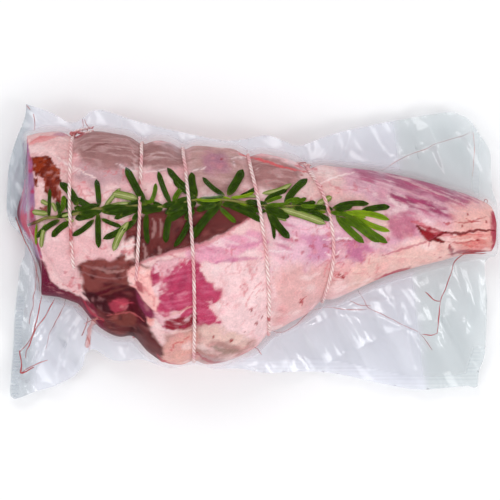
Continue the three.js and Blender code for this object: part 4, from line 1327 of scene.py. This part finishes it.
def drawn_tight(z, pinned, held, furthest, block):
    """A sheet drawn tight against what it wraps, and held where it is pinned."""
    for _ in range(TIGHTENINGS):
        blur = (np.roll(z, 1, 0) + np.roll(z, -1, 0) + np.roll(z, 1, 1) + np.roll(z, -1, 1)) / 4
        z = np.where(pinned, held, furthest(blur, block))
    return z


def sheet_heights(xy, flat, depth, beyond, crease):
    """The upper and the lower film over the whole grid."""
    low, high = margin_heights(flat, depth, beyond, crease)
    pinned = beyond > PIN_DISTANCE
    meat, things = meat_top.at(xy), things_on_meat(xy)
    over_leg = meat > 1
    block = np.where(over_leg, np.maximum(meat, np.where(things > meat, things, 0)) + FILM_LIFT, -99)
    top = drawn_tight(np.where(over_leg, np.maximum(block, high), high), pinned, high, np.maximum, block)
    # The film crosses the meat in small tucks of its own.
    tucks = ridges(along(flat, 20, 2.5), 15, 621, 2)
    tucks = (tucks - 0.72) * step(0.72, 0.95, tucks)
    top = top + np.where(pinned, 0, crease * 0.8 + TUCK_HEIGHT * np.clip(tucks, 0, 1))
    meat_low = HeightMap([leg_tree] + twine_solids, down=False).at(xy)
    base = np.where(meat_low < 500, meat_low - 0.15, 999)
    bottom = np.where(base < 500, np.minimum(base, low), low)
    bottom = np.maximum(drawn_tight(bottom, pinned, low, np.minimum, base), 0.1)
    return np.maximum(top, bottom + 0.1), bottom


def weld_strength(xy, depth):
    """How strong a weld is at each point: the one along the front edge, and those across the ends."""
    weld = step(5.2, 4.2, np.abs(depth - 4.6)) * step(-70, -80, xy[..., 1]) * step(-60, -30, xy[..., 0])
    for strength, outer, inner, line in WELDS:
        weld = np.maximum(weld, strength * step(outer, inner, off_line(xy, spot(line))[0]))
    return weld


def film_looks(xy, flat, beyond, crease, weld):
    """How milky the film is, where it is double and more along its welds, how shiny it is, and its tint."""
    x, y = xy[..., 0], xy[..., 1]
    double = step(0, 5, beyond)
    milky = 0.001 + 0.28 * double + 0.16 * step(-160, -172, x) * step(20, 30, y) * double
    milky = milky + 0.13 * weld * (0.75 + 0.25 * np.sin(y * 3.1))
    on_crease = np.clip(crease, 0, 1) * step(2, 0, beyond)
    milky = milky + 0.3 * on_crease * (0.6 + 0.6 * cloud(flat, 4, 631, 2))
    shine = 0.06 + 0.81 * step(0.5, 8, beyond) + 0.4 * on_crease
    tint = mix(np.array(BLUE_HAZE), np.array(GREEN_HAZE), step(118, 126, x + 0.12 * y)[..., None])
    tint = mix(tint, np.array(GREY_HAZE), step(-164, -174, x)[..., None])
    return np.clip(milky, 0, 0.6), np.clip(shine, 0, 1), tint


def build_film():
    """Both sheets of the bag as heights over one grid, where on it the bag is, and how the film looks."""
    xy, depth, on_bag = film_grid()
    beyond = np.maximum(-inside(xy, leg_border()), 0)
    flat = np.concatenate([xy, np.zeros_like(xy[..., :1])], -1)
    crease = crease_heights(xy)
    top, bottom = sheet_heights(xy, flat, depth, beyond, crease)
    weld = weld_strength(xy, depth)
    top = top + 0.12 * weld * np.sin(xy[..., 1] * 2.6 + xy[..., 0] * 0.4)
    return xy, on_bag, top, bottom, *film_looks(xy, flat, beyond, crease, weld)


grid_xy, on_bag, film_top, film_bottom, film_milky, film_shine, film_tint = build_film()
cells = grid_faces(*on_bag.shape)
cells = cells[on_bag.reshape(-1)[cells].all(1)]
used, cells = np.unique(cells, return_inverse=True)
cells = cells.reshape(-1, 4)
film = film_material()
for name, heights, way in (("film_over", film_top, 1), ("film_under", film_bottom, -1)):
    points = np.concatenate([grid_xy, heights[..., None]], -1).reshape(-1, 3)[used]
    masks = {"milky": film_milky.reshape(-1)[used], "shine": film_shine.reshape(-1)[used]}
    sheet = mesh_piece(name, points, cells[:, ::way], film_tint.reshape(-1, 3)[used], masks)
    sheet.data.materials.append(film)
    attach(sheet, "root")
    if name == "film_over":
        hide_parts("bag")

# Blood that has run into the folds of the film

# Runs as (width in millimetres, strength, points in pixels).
RUNS = [
    (1.0, 0.5, [(37, 262), (33, 296), (28, 325)]), (1.2, 0.75, [(40, 296), (36, 318), (30, 337), (17, 353)]),
    (1.2, 0.75, [(55, 298), (44, 316), (31, 335), (23, 360)]),
    (1.6, 0.8, [(17, 352), (19, 366), (19, 374), (32, 368)]),
    (1.0, 0.6, [(19, 374), (32, 366), (45.5, 361)]), (0.9, 0.5, [(66, 300), (50, 330), (44, 350)]),
    (1.2, 0.5, [(88, 318), (84, 328), (80, 336)]), (1.0, 0.6, [(83, 325), (94, 320), (105, 319)]),
    (1.4, 0.4, [(85, 334), (88, 344), (88, 350)]), (8.0, 0.1, [(98, 316), (90, 328), (85, 348)]),
    (1.1, 0.85, [(466, 254), (456, 262), (452, 275), (442.4, 301.5)]),
    (1.1, 0.85, [(442.4, 301.5), (440, 318), (439, 334)]),
    (1.1, 0.9, [(426, 292), (434, 299), (442.4, 302)]), (1.0, 0.7, [(424, 335), (433, 336), (439, 334)]),
    (0.8, 0.3, [(358, 290), (364, 300), (370, 308), (391, 318), (420, 333)]),
    (0.8, 0.3, [(420, 333), (428, 342), (434, 351)]),
    (0.8, 0.25, [(309, 310), (326, 308), (346, 310), (368, 310)]),
    (0.8, 0.25, [(350, 301), (361, 305), (372, 307)]),
    (0.9, 0.4, [(268, 328.6), (282, 332), (296, 324), (308, 312)]),
    (1.0, 0.6, [(254, 347), (259, 350), (262.6, 355)]), (1.0, 0.5, [(24.4, 104), (29, 109)]),
    (0.9, 0.35, [(32.5, 112), (34, 121), (34, 130)]), (0.9, 0.45, [(81.3, 118), (82.5, 127), (82, 136)]),
    (0.9, 0.5, [(83.5, 118), (87, 124), (90, 129)]), (2.2, 0.95, [(91.6, 128.4), (93.4, 125.4)]),
    (1.0, 0.85, [(88, 132), (88.4, 129)]), (0.8, 0.04, [(381.6, 171), (405.5, 156), (440, 143), (475, 131)]),
    (0.8, 0.04, [(475, 131), (477, 148), (474.4, 176)]), (1.1, 0.8, [(460, 254), (472, 253.6), (488, 253)]),
    (0.9, 0.6, [(484, 203), (486, 199.6), (489, 200), (488, 203)]),
    (1.2, 0.7, [(14, 217), (20, 232), (30, 252)]), (1.0, 0.5, [(30, 252), (36, 268), (39, 292)]),
    (1.0, 0.6, [(300, 163), (306, 162), (312, 166)]),
]


# A run's section: a low rounded ridge on the film, as (share of half the width, height).
RUN_SECTION = [(-1, 0.0), (-0.5, 0.14), (0.5, 0.14), (1, 0.0), (0.5, -0.08), (-0.5, -0.08)]


def film_height(xy):
    return read_grid(film_top, (xy[:, 0] - FILM_FROM[0]) / SPACING, (xy[:, 1] - FILM_FROM[1]) / SPACING)


def blood_run(k, width, strength, line):
    """One run of blood on the film, with its strength beside its colour."""
    path = curve(spot(line), 10 + 6 * len(line))
    low, high = (np.c_[path, np.full(len(path), z)] for z in (3.0 * k, 9.0))
    swell = np.sin(np.pi * np.linspace(0.06, 0.94, len(path))) ** 0.4
    path = path + 0.9 * np.stack([smooth_noise(low, 7, 700 + q) for q in (0, 1)], 1)
    high[:, :2] = path
    swell = swell * (0.62 + 0.38 * smooth_noise(high, 4, 710 + k))
    ahead = unit(np.gradient(path, axis=0))
    side = np.stack([-ahead[:, 1], ahead[:, 0]], 1)
    height = film_height(path) + 0.12
    half = 0.5 * width * swell
    rows = [np.c_[path + side * (u * half)[:, None], height + rise] for u, rise in RUN_SECTION]
    points = np.stack(rows, 1).reshape(-1, 3)
    count = len(RUN_SECTION)
    caps = [face[::-1] for face in end_caps(len(path), count)]
    faces = grid_faces(len(path), count, around=True).tolist() + caps
    colour = mix(linear((232, 140, 130)), linear((178, 24, 48)), strength)
    return points, faces, np.broadcast_to([*colour, 0.22 + 0.66 * strength], (len(points), 4))


run_points, run_faces, run_paint = joined([blood_run(k, *run) for k, run in enumerate(RUNS)])
runs = mesh_piece("blood_runs", run_points, run_faces, run_paint[:, :3], {"strength": run_paint[:, 3]})
runs.data.materials.append(juice_material())
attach(runs, "root")

# Floor, light and camera


FLOOR_REACH = 30
FLOOR_Z = -0.0001
corners = [(-1, -1), (1, -1), (1, 1), (-1, 1)]
floor_mesh = bpy.data.meshes.new("floor")
floor_mesh.from_pydata([(x * FLOOR_REACH, y * FLOOR_REACH, FLOOR_Z) for x, y in corners], [], [(0, 1, 2, 3)])
floor = bpy.data.objects.new("floor", floor_mesh)
bpy.context.scene.collection.objects.link(floor)
floor.data.materials.append(plain("floor", (0.95, 0.95, 0.955, 1), 0.9))


def area_light(name, place, size, power, tint=(1, 1, 1)):
    data = bpy.data.lights.new(name, "AREA")
    data.shape = "RECTANGLE"
    data.size, data.size_y = size
    data.energy = power
    data.color = tint
    lamp = bpy.data.objects.new(name, data)
    lamp.location = place
    lamp.rotation_euler = (Vector((0, 0, 0.03)) - Vector(place)).to_track_quat("-Z", "Y").to_euler()
    bpy.context.scene.collection.objects.link(lamp)


area_light("softbox_back", (-0.35, 1.0, 1.25), (1.0, 0.6), 4.6)
area_light("softbox_left", (-1.25, -0.3, 1.2), (0.5, 1.0), 4)
area_light("softbox_right", (1.2, -0.5, 1.1), (0.5, 0.9), 6)
area_light("softbox_front", (0.3, -1.1, 1.3), (0.9, 0.5), 3.5)

world = bpy.data.worlds.new("studio")
world.use_nodes = True
sky = world.node_tree.nodes["Background"]
sky.inputs["Color"].default_value = (0.97, 0.98, 1.0, 1)
sky.inputs["Strength"].default_value = 0.7
bpy.context.scene.world = world
bpy.context.scene.view_settings.view_transform = "Standard"
bpy.context.scene.view_settings.look = "None"

# The camera looks straight down from far off, and sees as much as the photograph's 500 pixels.
LENS = 300
SENSOR = 36
SEEN = 500 * MM_PER_PIXEL * 0.001
FOCUS_HEIGHT = 0.04
lens = bpy.data.cameras.new("camera")
lens.sensor_width = SENSOR
lens.lens = LENS
lens.clip_start = 0.05
lens.clip_end = 60
camera = bpy.data.objects.new("camera", lens)
centre = spot((250, 250)) * 0.001
camera.location = (centre[0], centre[1], FOCUS_HEIGHT + SEEN * LENS / SENSOR)
bpy.context.scene.collection.objects.link(camera)
bpy.context.scene.camera = camera
